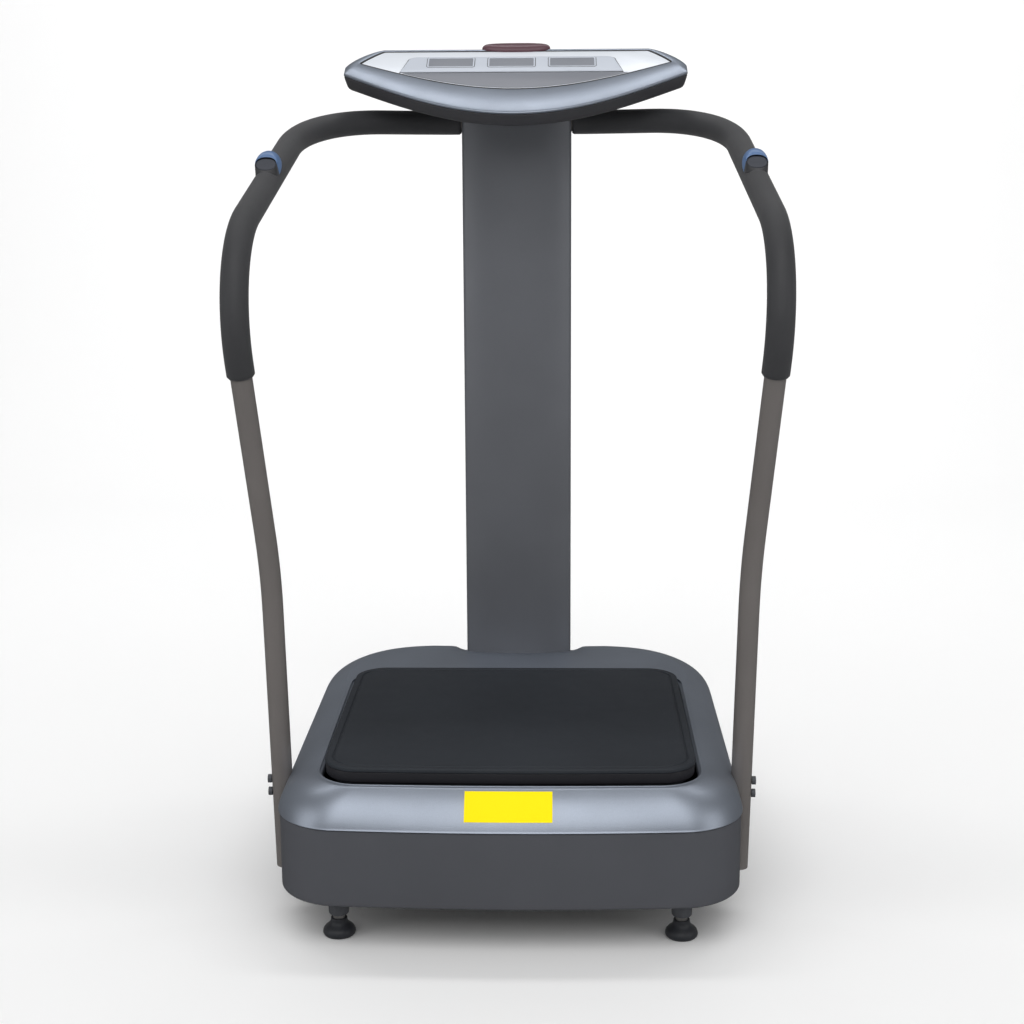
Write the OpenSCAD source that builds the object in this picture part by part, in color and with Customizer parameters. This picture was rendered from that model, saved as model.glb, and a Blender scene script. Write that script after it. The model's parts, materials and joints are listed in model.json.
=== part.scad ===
// Vibration plate: an oscillating standing platform with a column, a console and two handrails.
// Millimetres. +Z is up and the user stands facing +Y. The origin is on the floor,
// under the middle of the base.

/* [Base] */
// Width of the base across the skirt
base_w = 614; // [590:2:640]
// Depth of the base, front to back
base_d = 730; // [715:5:760]
// Height of the skirt's bottom edge above the floor
skirt_z = 62; // [62:1:64]
// Height of the seam between skirt and top cover
seam_z = 168; // [160:1:175]
// Height of the top cover at its front edge
cover_front_z = 214; // [208:1:216]
// Height of the top cover at its back edge
cover_rear_z = 228; // [222:1:234]
// Corner radius of the base, at the front
front_r = 80; // [60:5:100]
// Size of the base's rear corners
rear_r = 190; // [120:10:200]
// Fullness of the rear corners, 2 being round and more being squarer
rear_power = 2.5; // [2:0.1:3]
// How far the front face bows out in the middle
front_bow = 14; // [0:1:14]
// Wall of the plastic shells
shell_t = 3; // [2:0.5:4]

/* [Platform] */
// Width of the standing platform
mat_w = 490; // [460:5:494]
// Depth of the standing platform
mat_d = 456; // [430:2:458]
// Front edge of the standing platform
mat_front_y = -312; // [-314:1:-300]
// Height of the mat's top
mat_top_z = 235; // [232:1:240]
// Corner radius of the mat
mat_r = 46; // [30:2:60]
// How far the mat's front edge bows out in the middle
mat_bow = 6; // [0:1:8]
// Height of the axis that the platform tilts about
pivot_z = 150; // [145:1:155]

/* [Column and console] */
// Width of the column
column_w = 169; // [150:1:180]
// Depth of the column
column_d = 62; // [61:1:63]
// Front face of the column, at its middle
column_front_y = 263; // [262:1:264]
// Radius of the column's bulging front
column_bulge_r = 180; // [160:5:200]
// Height of the console's back edge
console_z = 1175; // [1160:5:1200]
// Y of the console's back edge
console_y = 291; // [286:1:296]
// Tilt of the console towards the user, in degrees
console_tilt = 27; // [25:1:29]

/* [Handrails] */
// Outer diameter of the rail tube
rail_d = 28; // [25:1:30]
// Wall of the rail tube
rail_t = 2; // [1.5:0.5:3]
// Outer diameter of the foam grip
grip_d = 36; // [34:1:38]
// Height where the foam grip ends
grip_end_z = 745; // [700:5:760]

/* [Drive] */
// Throw of the eccentric, from the crank's axis
throw = 3; // [2:0.5:3]
// Radius of the driven pulley's running face
driven_r = 45; // [40:1:46]
// Radius of the motor pulley's running face
motor_pulley_r = 20; // [16:1:24]
// Distance of the crank and of the motor from the middle
drive_x = 115; // [110:1:120]

/* [Feet and wheels] */
// Widest radius of the rubber foot
foot_r = 21.7; // [18:0.1:24]
// Distance of each foot from the middle
foot_x = 227; // [220:1:230]
// Radius of the transport wheels
wheel_r = 24; // [20:1:24]

/* [Hidden] */
$fn = 64;

gap = 5;                    // free space round the platform, in the cover's opening
rim_w = 8;                  // flat rim of the cover round that opening
rear_shoulder = 80;         // how far the rear shoulder reaches in from the back edge
mat_t = 6;                  // thickness of the rubber mat
tray_t = 15;                // height of the plastic tray under the mat
plate_t = 4;                // thickness of the platform's steel plate
tray_z = mat_top_z - mat_t - tray_t;
plate_z = tray_z - plate_t;
column_y = column_front_y + column_d / 2;
arch_y = column_y + 6;      // where the rails enter the column's sides
arch_z = 1064;
foot_front_y = -299;
foot_rear_y = 255;
frame_z = 66;               // underside of the chassis tubes
frame_h = 30;
frame_w = 40;
deck_z = frame_z + frame_h; // top of the chassis tubes
crank_z = 140;              // height of the crank's and the motor's axes
pulley_y = -18;             // middle plane of the belt
rod_y = -120;               // middle plane of the connecting rod
rod_pin_z = 193;
run = 0.05;                 // running clearance on a radius
pivot_r = 10;
crank_r = 8;                // radius of the crankshaft's ends
crank_pin_r = 14;           // radius of its eccentric
bearing_r = 16;
rod_bearing_r = 20;
rod_bearing_w = 14;
motor_r = 35;
motor_shaft_r = 6;
belt_w = 14;
wheel_y = 332;
wheel_z = 32;
wheel_w = 20;
axle_r = 4;
fork_x = 168;               // inner cheek of the transport wheel's fork
cheek_t = 4;
frame_wall = 2;
frame_front_y = -345;
frame_d = 640;
cross_y = [-260, 40, 255];  // front faces of the chassis' cross tubes
deck_lap = 0.5;             // how far welded plates sink into the tubes
drive_plate = [416, 155, 4.5];
drive_plate_y = -200;
post_plate = [150, 75, 8.5];
post_plate_y = 245;
hub_r = 13.5;               // boss round each foot's stud
stud_r = 5;
bolt_y = -210;              // the two bolts that hold each rail to its bracket
bolt_z = [184, 166];
bolt_hole_r = 3.2;
bracket_x = 278;
bracket_t = 3;
post_w = 60;
post_d = 46;
post_wall = 2.5;
post_foot = [140, 66, 8];
post_foot_y = 250;
post_bolt_x = 60;
post_bolt_y = [262, 304];
post_hole_r = 5.2;
nut_r = 8.5;
inlet_x = -70;
inlet_z = 112;
inlet_size = [56, 28];
rocker_x = -54;
rocker_y = 359;
rocker_pin_r = 1.5;
board_t = 1.6;

PAINT = "#3f4147";
SILVER = "#8d97a8";
TUBE = "#6b6764";
FOAM = "#2b2d31";
RUBBER = "#1b1c20";
STEEL = "#9a9ca0";
BLACK = "#141416";

// ---------- general shapes ----------

function lerp(a, b, t) = a + (b - a) * t;
function clamp01(t) = min(1, max(0, t));
function unit(v) = v / norm(v);

// Points of an arc, both ends included
function arc(cx, cy, r, a0, a1, n) =
    [for (i = [0:n]) let (a = lerp(a0, a1, i / n)) [cx + r * cos(a), cy + r * sin(a)]];

// A rounded rectangle from x = -hw to hw and from yf to yb. The front corners have radius rf and
// the front edge bows out. The rear corners have size rb and are squarer with more power. It
// always has the same number of points, so that outlines can be lofted together.
function plan(hw, yf, yb, rf, rb, bow = 0, power = 2) =
    let (rear = [for (i = [0:12]) let (t = 90 * i / 12)
            [hw - rb + rb * pow(cos(t), 2 / power), yb - rb + rb * pow(sin(t), 2 / power)]],
        raw = concat(
            arc(hw - rf, yf + rf, rf, -90, 0, 10),
            [for (i = [1:5]) [hw, lerp(yf + rf, yb - rb, i / 6)]],
            rear,
            [for (i = [1:5]) [lerp(hw - rb, rb - hw, i / 6), yb]],
            [for (i = [12:-1:0]) [-rear[i][0], rear[i][1]]],
            [for (i = [1:5]) [-hw, lerp(yb - rb, yf + rf, i / 6)]],
            arc(rf - hw, yf + rf, rf, 180, 270, 10),
            [for (i = [1:9]) [lerp(rf - hw, hw - rf, i / 10), yf]]))
    [for (p = raw)
        [p[0], p[1] - bow * cos(90 * p[0] / hw) * clamp01((yf + rf - p[1]) / rf)]];

function base_plan(inset = 0) = plan(
    base_w / 2 - inset, front_bow - base_d / 2 + inset, base_d / 2 - inset,
    front_r - inset, rear_r - inset, front_bow, rear_power);

function platform_plan(grow = 0) = plan(
    mat_w / 2 + grow, mat_front_y + mat_bow - grow, mat_front_y + mat_d + grow,
    mat_r + grow, mat_r + grow, mat_bow);

function at_z(points, z) = [for (p = points) [p[0], p[1], z]];

// A solid through rings of equal length, closed round on itself when ends is false
module loft(rings, ends = true) {
    n = len(rings[0]);
    m = len(rings);
    spans = ends ? m - 1 : m;
    sides = [for (j = [0:spans - 1], i = [0:n - 1])
        let (a = j * n + i, b = j * n + (i + 1) % n,
            c = ((j + 1) % m) * n + (i + 1) % n, d = ((j + 1) % m) * n + i)
        each [[a, c, b], [a, d, c]]];
    caps = ends ? [[for (i = [0:n - 1]) i], [for (i = [n - 1:-1:0]) (m - 1) * n + i]] : [];
    polyhedron([for (r = rings) each r], concat(sides, caps), convexity = 8);
}

module slot_2d(length, width) {
    square([length - width, width], center = true);
    for (x = [-1, 1]) translate([x * (length - width) / 2, 0]) circle(d = width);
}

module ring(r_out, r_in, h) {
    difference() {
        cylinder(r = r_out, h = h);
        translate([0, 0, -1]) cylinder(r = r_in, h = h + 2);
    }
}

// Turns +Z to run along +Y, which is how every shaft in the drive lies
module along_y() { rotate([-90, 0, 0]) children(); }

module both_sides() {
    children();
    mirror([1, 0, 0]) children();
}

// ---------- bent tubes ----------

// Places children so that their +X, +Y and +Z are the given unit vectors, at point o
module place(x, y, z, o) {
    multmatrix([[x[0], y[0], z[0], o[0]], [x[1], y[1], z[1], o[1]],
        [x[2], y[2], z[2], o[2]], [0, 0, 0, 1]]) children();
}

module place_z(z, o) {
    side = abs(z[2]) > 0.9 ? [1, 0, 0] : [0, 0, 1];
    x = unit(cross(side, z));
    place(x, cross(z, x), z, o) children();
}

function turn(a, b) = acos(unit(a) * unit(b));

// A tube along points p with bend radius bend[i] at each inner point. The straight parts are
// thinner by step on each wall and reach into the bends, so that they join cleanly.
module bent_tube(p, bend, r_out, r_in, step = 0.05) {
    last = len(p) - 1;
    cut = [for (i = [0:last]) i == 0 || i == last ? 0
        : bend[i - 1] * tan(turn(p[i] - p[i - 1], p[i + 1] - p[i]) / 2)];
    for (i = [0:last - 1]) {
        d = unit(p[i + 1] - p[i]);
        from = p[i] + d * (cut[i] - (i == 0 ? 0 : 1));
        to = p[i + 1] - d * (cut[i + 1] - (i + 1 == last ? 0 : 1));
        place_z(d, from) {
            if (r_in > 0) ring(r_out - step, r_in + step, norm(to - from));
            else cylinder(r = r_out - step, h = norm(to - from));
        }
    }
    for (i = [1:last - 1]) {
        a = unit(p[i] - p[i - 1]);
        b = unit(p[i + 1] - p[i]);
        n = unit(cross(a, b));
        inward = cross(n, a);
        place(-inward, a, n, p[i] - a * cut[i] + inward * bend[i - 1])
            rotate_extrude(angle = turn(a, b)) translate([bend[i - 1], 0]) difference() {
                circle(r_out);
                if (r_in > 0) circle(r_in);
            }
    }
}

// The right rail's corner points, from its foot on the base to its end inside the column
rail_points = [
    [309, -209, 60], [317, -214, 474], [344, -321, 895], [314, 196, 1065],
    [112, arch_y, arch_z], [14, arch_y, arch_z]
];
rail_bends = [450, 150, 210, 60];
rail_fall = unit(rail_points[1] - rail_points[2]);
grip_end = rail_points[2] + rail_fall * (grip_end_z - rail_points[2][2]) / rail_fall[2];
grip_points = [grip_end, rail_points[2], rail_points[3], rail_points[4],
    [column_w / 2 + 1, arch_y, arch_z]];
grip_bends = [150, 210, 60];

// The pod sits on top of the right rail's sloping part, and its button faces back to the user
pod_along = unit(rail_points[3] - rail_points[2]);
pod_out = unit([0, 0, 1] - pod_along * pod_along[2]);
pod_side = cross(pod_out, pod_along);
pod_point = rail_points[2] + pod_along * 288;
pod_r = 17.5;
pod_lift = 15;              // height of the pod's round top above the tube's centre line
pod_half = 8;               // half the length of its straight part
pod_reach = 26.5;           // half the length of the notch that the pod fills in the foam
pod_floor = 3;              // height of the notch's floor above the tube's centre line
face_turn = 40;             // turn of the button from straight out towards the user, in degrees
pod_face = pod_out * cos(face_turn) - pod_along * sin(face_turn);
button_size = [27, 18];
button_h = 4.5;
button_rise = 9.5;          // height of the button's underside above the middle of the pod's top
button_travel = 1.9;        // free depth under the button
button_gap = 0.3;
button_seat = pod_point + pod_out * pod_lift - pod_along * pod_half + pod_face * button_rise;

module rail() {
    color(TUBE) difference() {
        bent_tube(rail_points, rail_bends, rail_d / 2, rail_d / 2 - rail_t);
        for (z = bolt_z)
            translate([270, bolt_y, z]) rotate([0, 90, 0]) cylinder(r = bolt_hole_r, h = 70);
    }
}

// The pod's frame at the tube's centre line: +X along the tube, +Z out through the pod
module pod_frame() {
    place(pod_along, pod_side, pod_out, pod_point) children();
}

// The pod takes the place of the foam's upper half over this stretch
module grip() {
    color(FOAM) difference() {
        bent_tube(grip_points, grip_bends, grip_d / 2, rail_d / 2 + 0.1, 0.2);
        pod_frame() translate([-pod_reach, -30, pod_floor]) cube([2 * pod_reach, 60, 60]);
    }
}

// The straight stretch of rail beside the base, fattened by grow
module rail_foot(grow) {
    d = unit(rail_points[1] - rail_points[0]);
    place_z(d, rail_points[0] - d * 20) cylinder(r = rail_d / 2 + grow, h = 220);
}

module button_frame() {
    place(pod_side, cross(pod_face, pod_side), pod_face, button_seat) children();
}

module pod() {
    color("#5b76a3") difference() {
        pod_frame() {
            for (s = [-1, 1]) translate([s * pod_half, 0, pod_lift]) sphere(pod_r);
            translate([-pod_half, 0, pod_lift]) rotate([0, 90, 0])
                cylinder(r = pod_r - 0.15, h = 2 * pod_half);
            translate([0.3 - pod_reach, 0, 0]) rotate([0, 90, 0])
                cylinder(r = grip_d / 2 + 0.4, h = 2 * pod_reach - 0.6);
        }
        pod_frame() translate([-60, -60, pod_floor - 119.7]) cube(120);
        place_z(pod_along, pod_point - pod_along * 60) cylinder(r = rail_d / 2 + 0.1, h = 120);
        button_frame() translate([0, 0, -button_travel]) linear_extrude(30)
            slot_2d(button_size[0] + 2 * button_gap, button_size[1] + 2 * button_gap);
    }
}

module button() {
    color("#3b3f4a") button_frame() linear_extrude(button_h) slot_2d(button_size[0], button_size[1]);
}

module rail_bolts() {
    color(STEEL) both_sides() for (z = bolt_z) {
        x = rail_points[0][0] + rail_d / 2 + 0.3 + (z - 60) * 0.0193;
        translate([x, bolt_y, z]) rotate([0, 90, 0]) cylinder(d = 11.5, h = 5.2);
        translate([277, bolt_y, z]) rotate([0, 90, 0]) cylinder(d = 5.8, h = x - 276);
        translate([273, bolt_y, z]) rotate([0, 90, 0]) cylinder(d = 10, h = 4.9, $fn = 6);
    }
}

// ---------- base ----------

module chassis_frame() {
    color(PAINT) difference() {
        union() {
            both_sides() translate([foot_x - frame_w / 2, frame_front_y, frame_z])
                cube([frame_w, frame_d, frame_h]);
            for (y = cross_y)
                translate([0, y + frame_w / 2, frame_z + frame_h / 2])
                    cube([2 * foot_x - frame_w + 2, frame_w, frame_h], center = true);
            translate([-drive_plate[0] / 2, drive_plate_y, deck_z - deck_lap]) cube(drive_plate);
            translate([-post_plate[0] / 2, post_plate_y, deck_z - deck_lap]) cube(post_plate);
            for (s = [-1, 1], y = [foot_front_y, foot_rear_y])
                translate([s * foot_x, y, frame_z - 36]) {
                    cylinder(r1 = hub_r - 5, r2 = hub_r, h = 8);
                    translate([0, 0, 7.9]) cylinder(r = hub_r, h = 29);
                }
            both_sides() {
                translate([246, -225, 70]) cube([35, 30, 20]);
                translate([bracket_x, bolt_y - 18, 70]) cube([bracket_t, 36, 130]);
                for (z = bolt_z) translate([bracket_x + 2.5, bolt_y, z]) rotate([0, 90, 0])
                    cylinder(r = 5.5, h = 12.5);
            }
            both_sides() translate([fork_x, 262, 28]) wheel_fork();
        }
        both_sides() translate([foot_x - frame_w / 2 + frame_wall, frame_front_y - 1, frame_z + frame_wall])
            cube([frame_w - 2 * frame_wall, frame_d + 2, frame_h - 2 * frame_wall]);
        for (s = [-1, 1], y = [foot_front_y, foot_rear_y])
            translate([s * foot_x, y, 20]) cylinder(r = stud_r + run, h = 90);
        both_sides() for (z = bolt_z)
            translate([270, bolt_y, z]) rotate([0, 90, 0]) cylinder(r = bolt_hole_r, h = 40);
        both_sides() translate([150, wheel_y, wheel_z]) rotate([0, 90, 0]) cylinder(r = axle_r + run, h = 60);
        for (x = [-1, 1], y = post_bolt_y)
            translate([x * post_bolt_x, y, 60]) cylinder(r = post_hole_r, h = 60);
    }
}

// Two cheeks that hold a transport wheel behind the rear cross tube
module wheel_fork() {
    for (x = [0, 28]) hull() {
        translate([x, wheel_y - 262, wheel_z - 28]) rotate([0, 90, 0]) cylinder(r = 9, h = cheek_t, $fn = 32);
        translate([x, -5, 40]) cube([cheek_t, 30, 20]);
    }
    translate([0, -5, 48]) cube([42, 30, 12]);
}

module bottom_pan() {
    color(BLACK) difference() {
        translate([0, 0, skirt_z]) linear_extrude(2) polygon(base_plan(6));
        for (s = [-1, 1], y = [foot_front_y, foot_rear_y])
            translate([s * foot_x, y, 50]) cylinder(r = 16, h = 30);
        for (x = [-100:20:100]) translate([x, -60, 50]) linear_extrude(30) rotate(90) slot_2d(90, 7);
        both_sides() translate([160, 250, 50]) cube([58, 70, 30]);
        both_sides() rail_foot(1.5);
    }
}

module skirt() {
    color(PAINT) difference() {
        translate([0, 0, skirt_z]) linear_extrude(seam_z - skirt_z - 0.5) difference() {
            polygon(base_plan(2));
            polygon(base_plan(2 + shell_t));
        }
        both_sides() rail_foot(1);
        translate([inlet_x, 350, inlet_z]) cube([inlet_size[0] + 0.4, 40, inlet_size[1] + 0.4], center = true);
    }
}

// Height of the cover's top at a depth
function cover_z(y) = lerp(cover_front_z, cover_rear_z, (y + base_d / 2) / base_d);

// Ring of the cover's shoulder at t, from 0 at the seam to 1 at the top. The front is a soft
// slope, and the sides and back are rounder.
function shoulder(t, inset, drop) = let (outer = base_plan(inset), rim = platform_plan(gap + rim_w))
    [for (i = [0:len(outer) - 1]) let (
        o = outer[i],
        reach = norm(rim[i] - o),
        front = clamp01((front_r - base_d / 2 - o[1]) / front_r),
        back = clamp01((o[1] + rear_r - base_d / 2) / rear_r),
        share = lerp(1, min(1, rear_shoulder / reach), back),
        out = 2 * t * (1 - t) * lerp(0.05, 0.30, front) + t * t,
        up = 2 * t * (1 - t) * lerp(0.75, 0.62, front) + t * t,
        xy = lerp(o, rim[i], out * share))
        [xy[0], xy[1], lerp(seam_z, cover_z(xy[1]), up) - (t > 0 ? drop : 0)]];

function cover_ring(grow, drop) = [for (p = platform_plan(grow)) [p[0], p[1], cover_z(p[1]) - drop]];

module top_cover() {
    steps = 6;
    lip = 14;
    color(SILVER) difference() {
        loft(concat(
            [for (k = [0:steps]) shoulder(k / steps, 0, 0)],
            [cover_ring(gap, 0), cover_ring(gap, lip), cover_ring(gap + shell_t, lip),
                cover_ring(gap + shell_t, shell_t)],
            [for (k = [steps:-1:0]) shoulder(k / steps, shell_t, shell_t)]), ends = false);
        both_sides() rail_foot(1.6);
        translate([0, 0, 160]) linear_extrude(90) column_section(-1);
    }
}

label_size = [113, 45];

// A thin blank label that follows the slope of the cover's front
module front_label() {
    points = shoulder(0.14, 0, 0);
    upper = shoulder(0.84, 0, 0);
    mid = len(points) - 5;  // the middle of the front edge
    low = [0, points[mid][1], points[mid][2]];
    high = [0, upper[mid][1], upper[mid][2]];
    d = unit(high - low);
    color("yellow") place([1, 0, 0], d, cross([1, 0, 0], d), (low + high) / 2)
        translate([0, 0, 2.95]) cube([label_size[0], label_size[1], 0.6], center = true);
}

// ---------- column ----------

// Puts children in the console's face: +X across it, +Y up towards its back edge, +Z out of it
module on_face() {
    translate([0, console_y, console_z]) rotate([console_tilt, 0, 0]) children();
}

// Everything more than a depth under the console's face, so that the column ends beneath it
module below_console(depth) {
    on_face() translate([-300, -500, -depth - 1400]) cube([600, 1000, 1400]);
}

// The column's section: flat sides and back, and a front that bulges towards the user
module column_section(inset) {
    intersection() {
        translate([0, column_front_y + column_bulge_r]) circle(column_bulge_r - inset, $fn = 160);
        translate([0, column_y]) square([column_w - 2 * inset, column_d - 2 * inset], center = true);
    }
}

module column_shell(y0, y1) {
    intersection() {
        translate([0, 0, 180]) linear_extrude(1000) intersection() {
            difference() {
                column_section(0);
                column_section(2.5);
            }
            translate([-column_w, y0]) square([2 * column_w, y1 - y0]);
        }
        below_console(shell_depth + 0.2);
    }
}

module column_front() {
    color(PAINT) difference() {
        column_shell(column_front_y - 1, column_y - 0.2);
        rail_entry();
    }
}

module column_back() {
    color(PAINT) difference() {
        union() {
            column_shell(column_y + 0.2, column_front_y + column_d + 1);
            column_cap();
        }
        rail_entry();
    }
}

// Closes the column's top where it reaches out behind the console
module column_cap() {
    intersection() {
        translate([0, 0, 1000]) linear_extrude(300) intersection() {
            column_section(1);
            translate([-column_w, console_y + 28]) square([2 * column_w, 100]);
        }
        on_face() translate([-300, -500, -shell_depth - 2.7]) cube([600, 1000, 2.5]);
    }
}

module rail_entry() {
    translate([-100, arch_y, arch_z]) rotate([0, 90, 0]) cylinder(r = rail_d / 2 + 0.8, h = 200);
}

module column_post() {
    color(PAINT) difference() {
        union() {
            intersection() {
                translate([-post_w / 2, column_y - post_d / 2, deck_z + 15]) cube([post_w, post_d, 1000]);
                below_console(shell_depth + 4);
            }
            translate([-post_foot[0] / 2, post_foot_y, deck_z + 8.05]) cube(post_foot);
            intersection() {
                on_face() translate([-60, -48, -shell_depth - 5.2]) cube([120, 38, 5]);
                translate([0, 0, 1000]) linear_extrude(200) column_section(4);
            }
        }
        translate([-post_w / 2 + post_wall, column_y - post_d / 2 + post_wall, deck_z])
            cube([post_w - 2 * post_wall, post_d - 2 * post_wall, 980]);
        translate([-80, arch_y, arch_z]) rotate([0, 90, 0]) cylinder(r = socket_r + run, h = 160);
        for (x = [-1, 1], y = post_bolt_y)
            translate([x * post_bolt_x, y, 90]) cylinder(r = post_hole_r, h = 30);
        console_screw_holes();
    }
}

// The front bolts thread into the rear cross tube, and the rear ones have nuts under its plate
module post_bolts() {
    color(STEEL) for (x = [-1, 1], rear = [0, 1]) translate([x * post_bolt_x, post_bolt_y[rear], 0]) {
        low = rear == 1 ? deck_z - 10.5 : frame_z - 1;
        translate([0, 0, low]) cylinder(r = 5, h = deck_z + 17 - low);
        if (rear == 1) translate([0, 0, deck_z - 8.6]) cylinder(r = nut_r, h = 8, $fn = 6);
        translate([0, 0, deck_z + 16.1]) cylinder(r = nut_r, h = 6, $fn = 6);
    }
}

// Cross tube in the post that both rails plug into
socket_r = 16;
socket_half = 38;

module rail_socket() {
    color(STEEL) translate([-socket_half, arch_y, arch_z]) rotate([0, 90, 0])
        ring(socket_r, rail_d / 2 + run, 2 * socket_half);
}

// ---------- console, drawn on its tilted face ----------

shell_depth = 46;           // from the face to the lower shell's floor
rim_drop = 6;               // how far the rim's outer edge lies under the face

// Outline in the face: straight along the back, shaped corners, and a front edge that bows
// towards the user. Distances are measured down the face from the back edge.
function console_plan(half, back, corner_w, corner_h, power, side, front, inset = 0) =
    let (h = half - inset, b = back + inset,
        corner = [for (i = [0:8]) let (t = 90 * i / 8)
            [h - corner_w + corner_w * pow(cos(t), 2 / power),
                corner_h * pow(sin(t), 2 / power) - b - corner_h]])
    concat(corner,
        [for (i = [8:-1:0]) [-corner[i][0], corner[i][1]]],
        [for (i = [0:32]) let (u = h * (i / 16 - 1))
            [u, -(side + (front - inset - side) * cos(90 * u / h))]]);

function rim_plan(inset = 0) = console_plan(257, 0, 57, 60, 1.5, 80, 213, inset);
function face_plan(inset = 0) = console_plan(233, 12, 32, 40, 1, 55, 145, inset);
function belly_plan(inset = 0) = console_plan(140, 2, 20, 20, 2, 50, 115, inset);
function blend(a, b, t) = [for (i = [0:len(a) - 1]) lerp(a[i], b[i], t)];

frame_u = -6;               // the display frame sits a little to the left
frame_v = [35, 87];
frame_half = [156, 166];
window = [66, 29];
window_v = 56.5;
window_pitch = 91;

module console_upper_shell() {
    color(SILVER) on_face() difference() {
        loft(concat(
            [at_z(rim_plan(0.3), -rim_drop - 2), at_z(rim_plan(), -rim_drop)],
            [for (t = [0.8, 0.6, 0.4, 0.2, 0])
                at_z(blend(face_plan(-0.4), rim_plan(), t), -(rim_drop - 0.5) * t * t - 0.5)],
            [at_z(face_plan(-0.4), -shell_t - 0.5),
                at_z(blend(face_plan(-0.4), rim_plan(4), 0.5), -shell_t - 1.8),
                at_z(rim_plan(4), -rim_drop - 1.2), at_z(rim_plan(3.3), -rim_drop - 2)]),
            ends = false);
        lens(0.4);
    }
}

module console_lower_shell() {
    seam = -rim_drop - 2.3;
    bend = -29;
    color(PAINT) on_face() difference() {
        union() {
            loft([at_z(belly_plan(), -shell_depth), at_z(rim_plan(4), bend),
                at_z(rim_plan(0.3), seam), at_z(rim_plan(3.3), seam),
                at_z(rim_plan(7), bend + 2), at_z(belly_plan(3), shell_t - shell_depth)]);
            for (p = board_screws) translate([p[0], p[1], 1 - shell_depth])
                cylinder(r = 3.5, h = shell_depth - 17.05);
        }
        console_screw_bores();
    }
}

board_screws = [[-100, -50], [100, -50], [-55, -88], [55, -88]];
console_screw_points = [[-40, -18], [40, -18], [-40, -40], [40, -40]];

module console_screw_bores() {
    for (p = console_screw_points) translate([p[0], p[1], -shell_depth - 20]) cylinder(r = 2.6, h = 30);
}

module console_screw_holes() { on_face() console_screw_bores(); }

module console_screws() {
    color(STEEL) on_face() for (p = console_screw_points) translate([p[0], p[1], 0]) {
        translate([0, 0, -shell_depth - 8]) cylinder(r = 2.5, h = 12);
        translate([0, 0, shell_t - shell_depth + 0.1]) cylinder(r = 4.5, h = 2.6);
    }
}

module frame_outline(grow) {
    polygon([
        [frame_u - frame_half[1] - grow, -frame_v[1] - grow],
        [frame_u + frame_half[1] + grow, -frame_v[1] - grow],
        [frame_u + frame_half[0] + 4 + grow, -frame_v[0] - 12],
        [frame_u + frame_half[0] - 8, -frame_v[0] + grow],
        [frame_u - frame_half[0] + 8, -frame_v[0] + grow],
        [frame_u - frame_half[0] - 4 - grow, -frame_v[0] - 12]
    ]);
}

module console_faceplate() {
    color("#e8edf5") on_face() difference() {
        translate([0, 0, -2.5]) linear_extrude(2.5) difference() {
            polygon(face_plan());
            frame_outline(0.2);
        }
        lens(0.4);
    }
}

module at_windows() {
    for (i = [-1:1]) translate([frame_u + i * window_pitch, -window_v, 0]) children();
}

module display_frame() {
    color("#cfd5e0") on_face() difference() {
        translate([0, 0, -2.5]) linear_extrude(5) frame_outline(0);
        at_windows() cube([window[0] + 0.4, window[1] + 0.4, 20], center = true);
    }
}

module display_windows() {
    color("#92959d") on_face() at_windows() translate([0, 0, -0.5])
        cube([window[0], window[1], 3], center = true);
}

module keypad_film() {
    color("#94979e") on_face() translate([0, 0, 0.05]) linear_extrude(0.8) intersection() {
        polygon(face_plan(5));
        translate([-200, -200]) square([400, 200 - frame_v[1] - 3]);
    }
}

// The infra-red window, a low dome over the back edge
module lens(grow) {
    translate([0, -2, -1]) scale([52 + grow, 13 + grow, 7.5 + grow]) sphere(1, $fn = 48);
}

module infrared_lens() {
    color("#6d505c") on_face() intersection() {
        lens(0);
        translate([-60, -30, -4]) cube([120, 60, 20]);
    }
}

module control_board() {
    color("#2f5d3a") on_face() translate([-140, -106, -16]) cube([280, 84, board_t]);
}

module display_modules() {
    color(BLACK) on_face() at_windows() translate([0, 0, -9.3]) cube([62, 26, 10], center = true);
}

// ---------- platform ----------

module platform_mat() {
    color(RUBBER) translate([0, 0, mat_top_z - mat_t]) linear_extrude(mat_t) polygon(platform_plan());
}

module platform_tray() {
    color(RUBBER) difference() {
        translate([0, 0, tray_z + 0.05]) linear_extrude(tray_t - 0.1) polygon(platform_plan(-1));
        for (i = [-3:2]) difference() {
            translate([0, 0, tray_z - 1]) linear_extrude(tray_t - 3) intersection() {
                polygon(platform_plan(-4));
                translate([i * 76 + 2, -400]) square([72, 700]);
            }
        }
    }
}

// An upright lug that hangs from the platform's plate, with a bore along Y
module lug(x, y, z, r, bore, t) {
    translate([x, y, 0]) rotate([90, 0, 0]) linear_extrude(t, center = true) difference() {
        union() {
            translate([-r, z]) square([2 * r, plate_z + 1 - z]);
            translate([0, z]) circle(r);
        }
        translate([0, z]) circle(bore);
    }
}

module platform_plate() {
    color(PAINT) {
        translate([0, 0, plate_z]) linear_extrude(plate_t) polygon(platform_plan(-8));
        for (y = lug_y) lug(0, y, pivot_z, 20, pivot_r + run, 8);
        for (s = [-1, 1]) lug(drive_x, rod_y + s * 14, rod_pin_z, 17, 12, 4);
    }
}

lug_y = [-228, 8];
block_y = [-260, 40];

module pivot_shaft() {
    color(STEEL) translate([0, -285, pivot_z]) along_y() cylinder(r = pivot_r, h = 350);
}

module pivot_blocks() {
    color(PAINT) for (y = block_y) translate([0, y, 0]) rotate([90, 0, 0])
        linear_extrude(30, center = true) difference() {
            union() {
                translate([-32, deck_z + 0.05]) square([64, 14]);
                translate([-22, deck_z + 10]) square([44, pivot_z - deck_z - 10]);
                translate([0, pivot_z]) circle(22);
            }
            translate([0, pivot_z]) circle(pivot_r + run);
        }
}

// ---------- drive ----------

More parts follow.
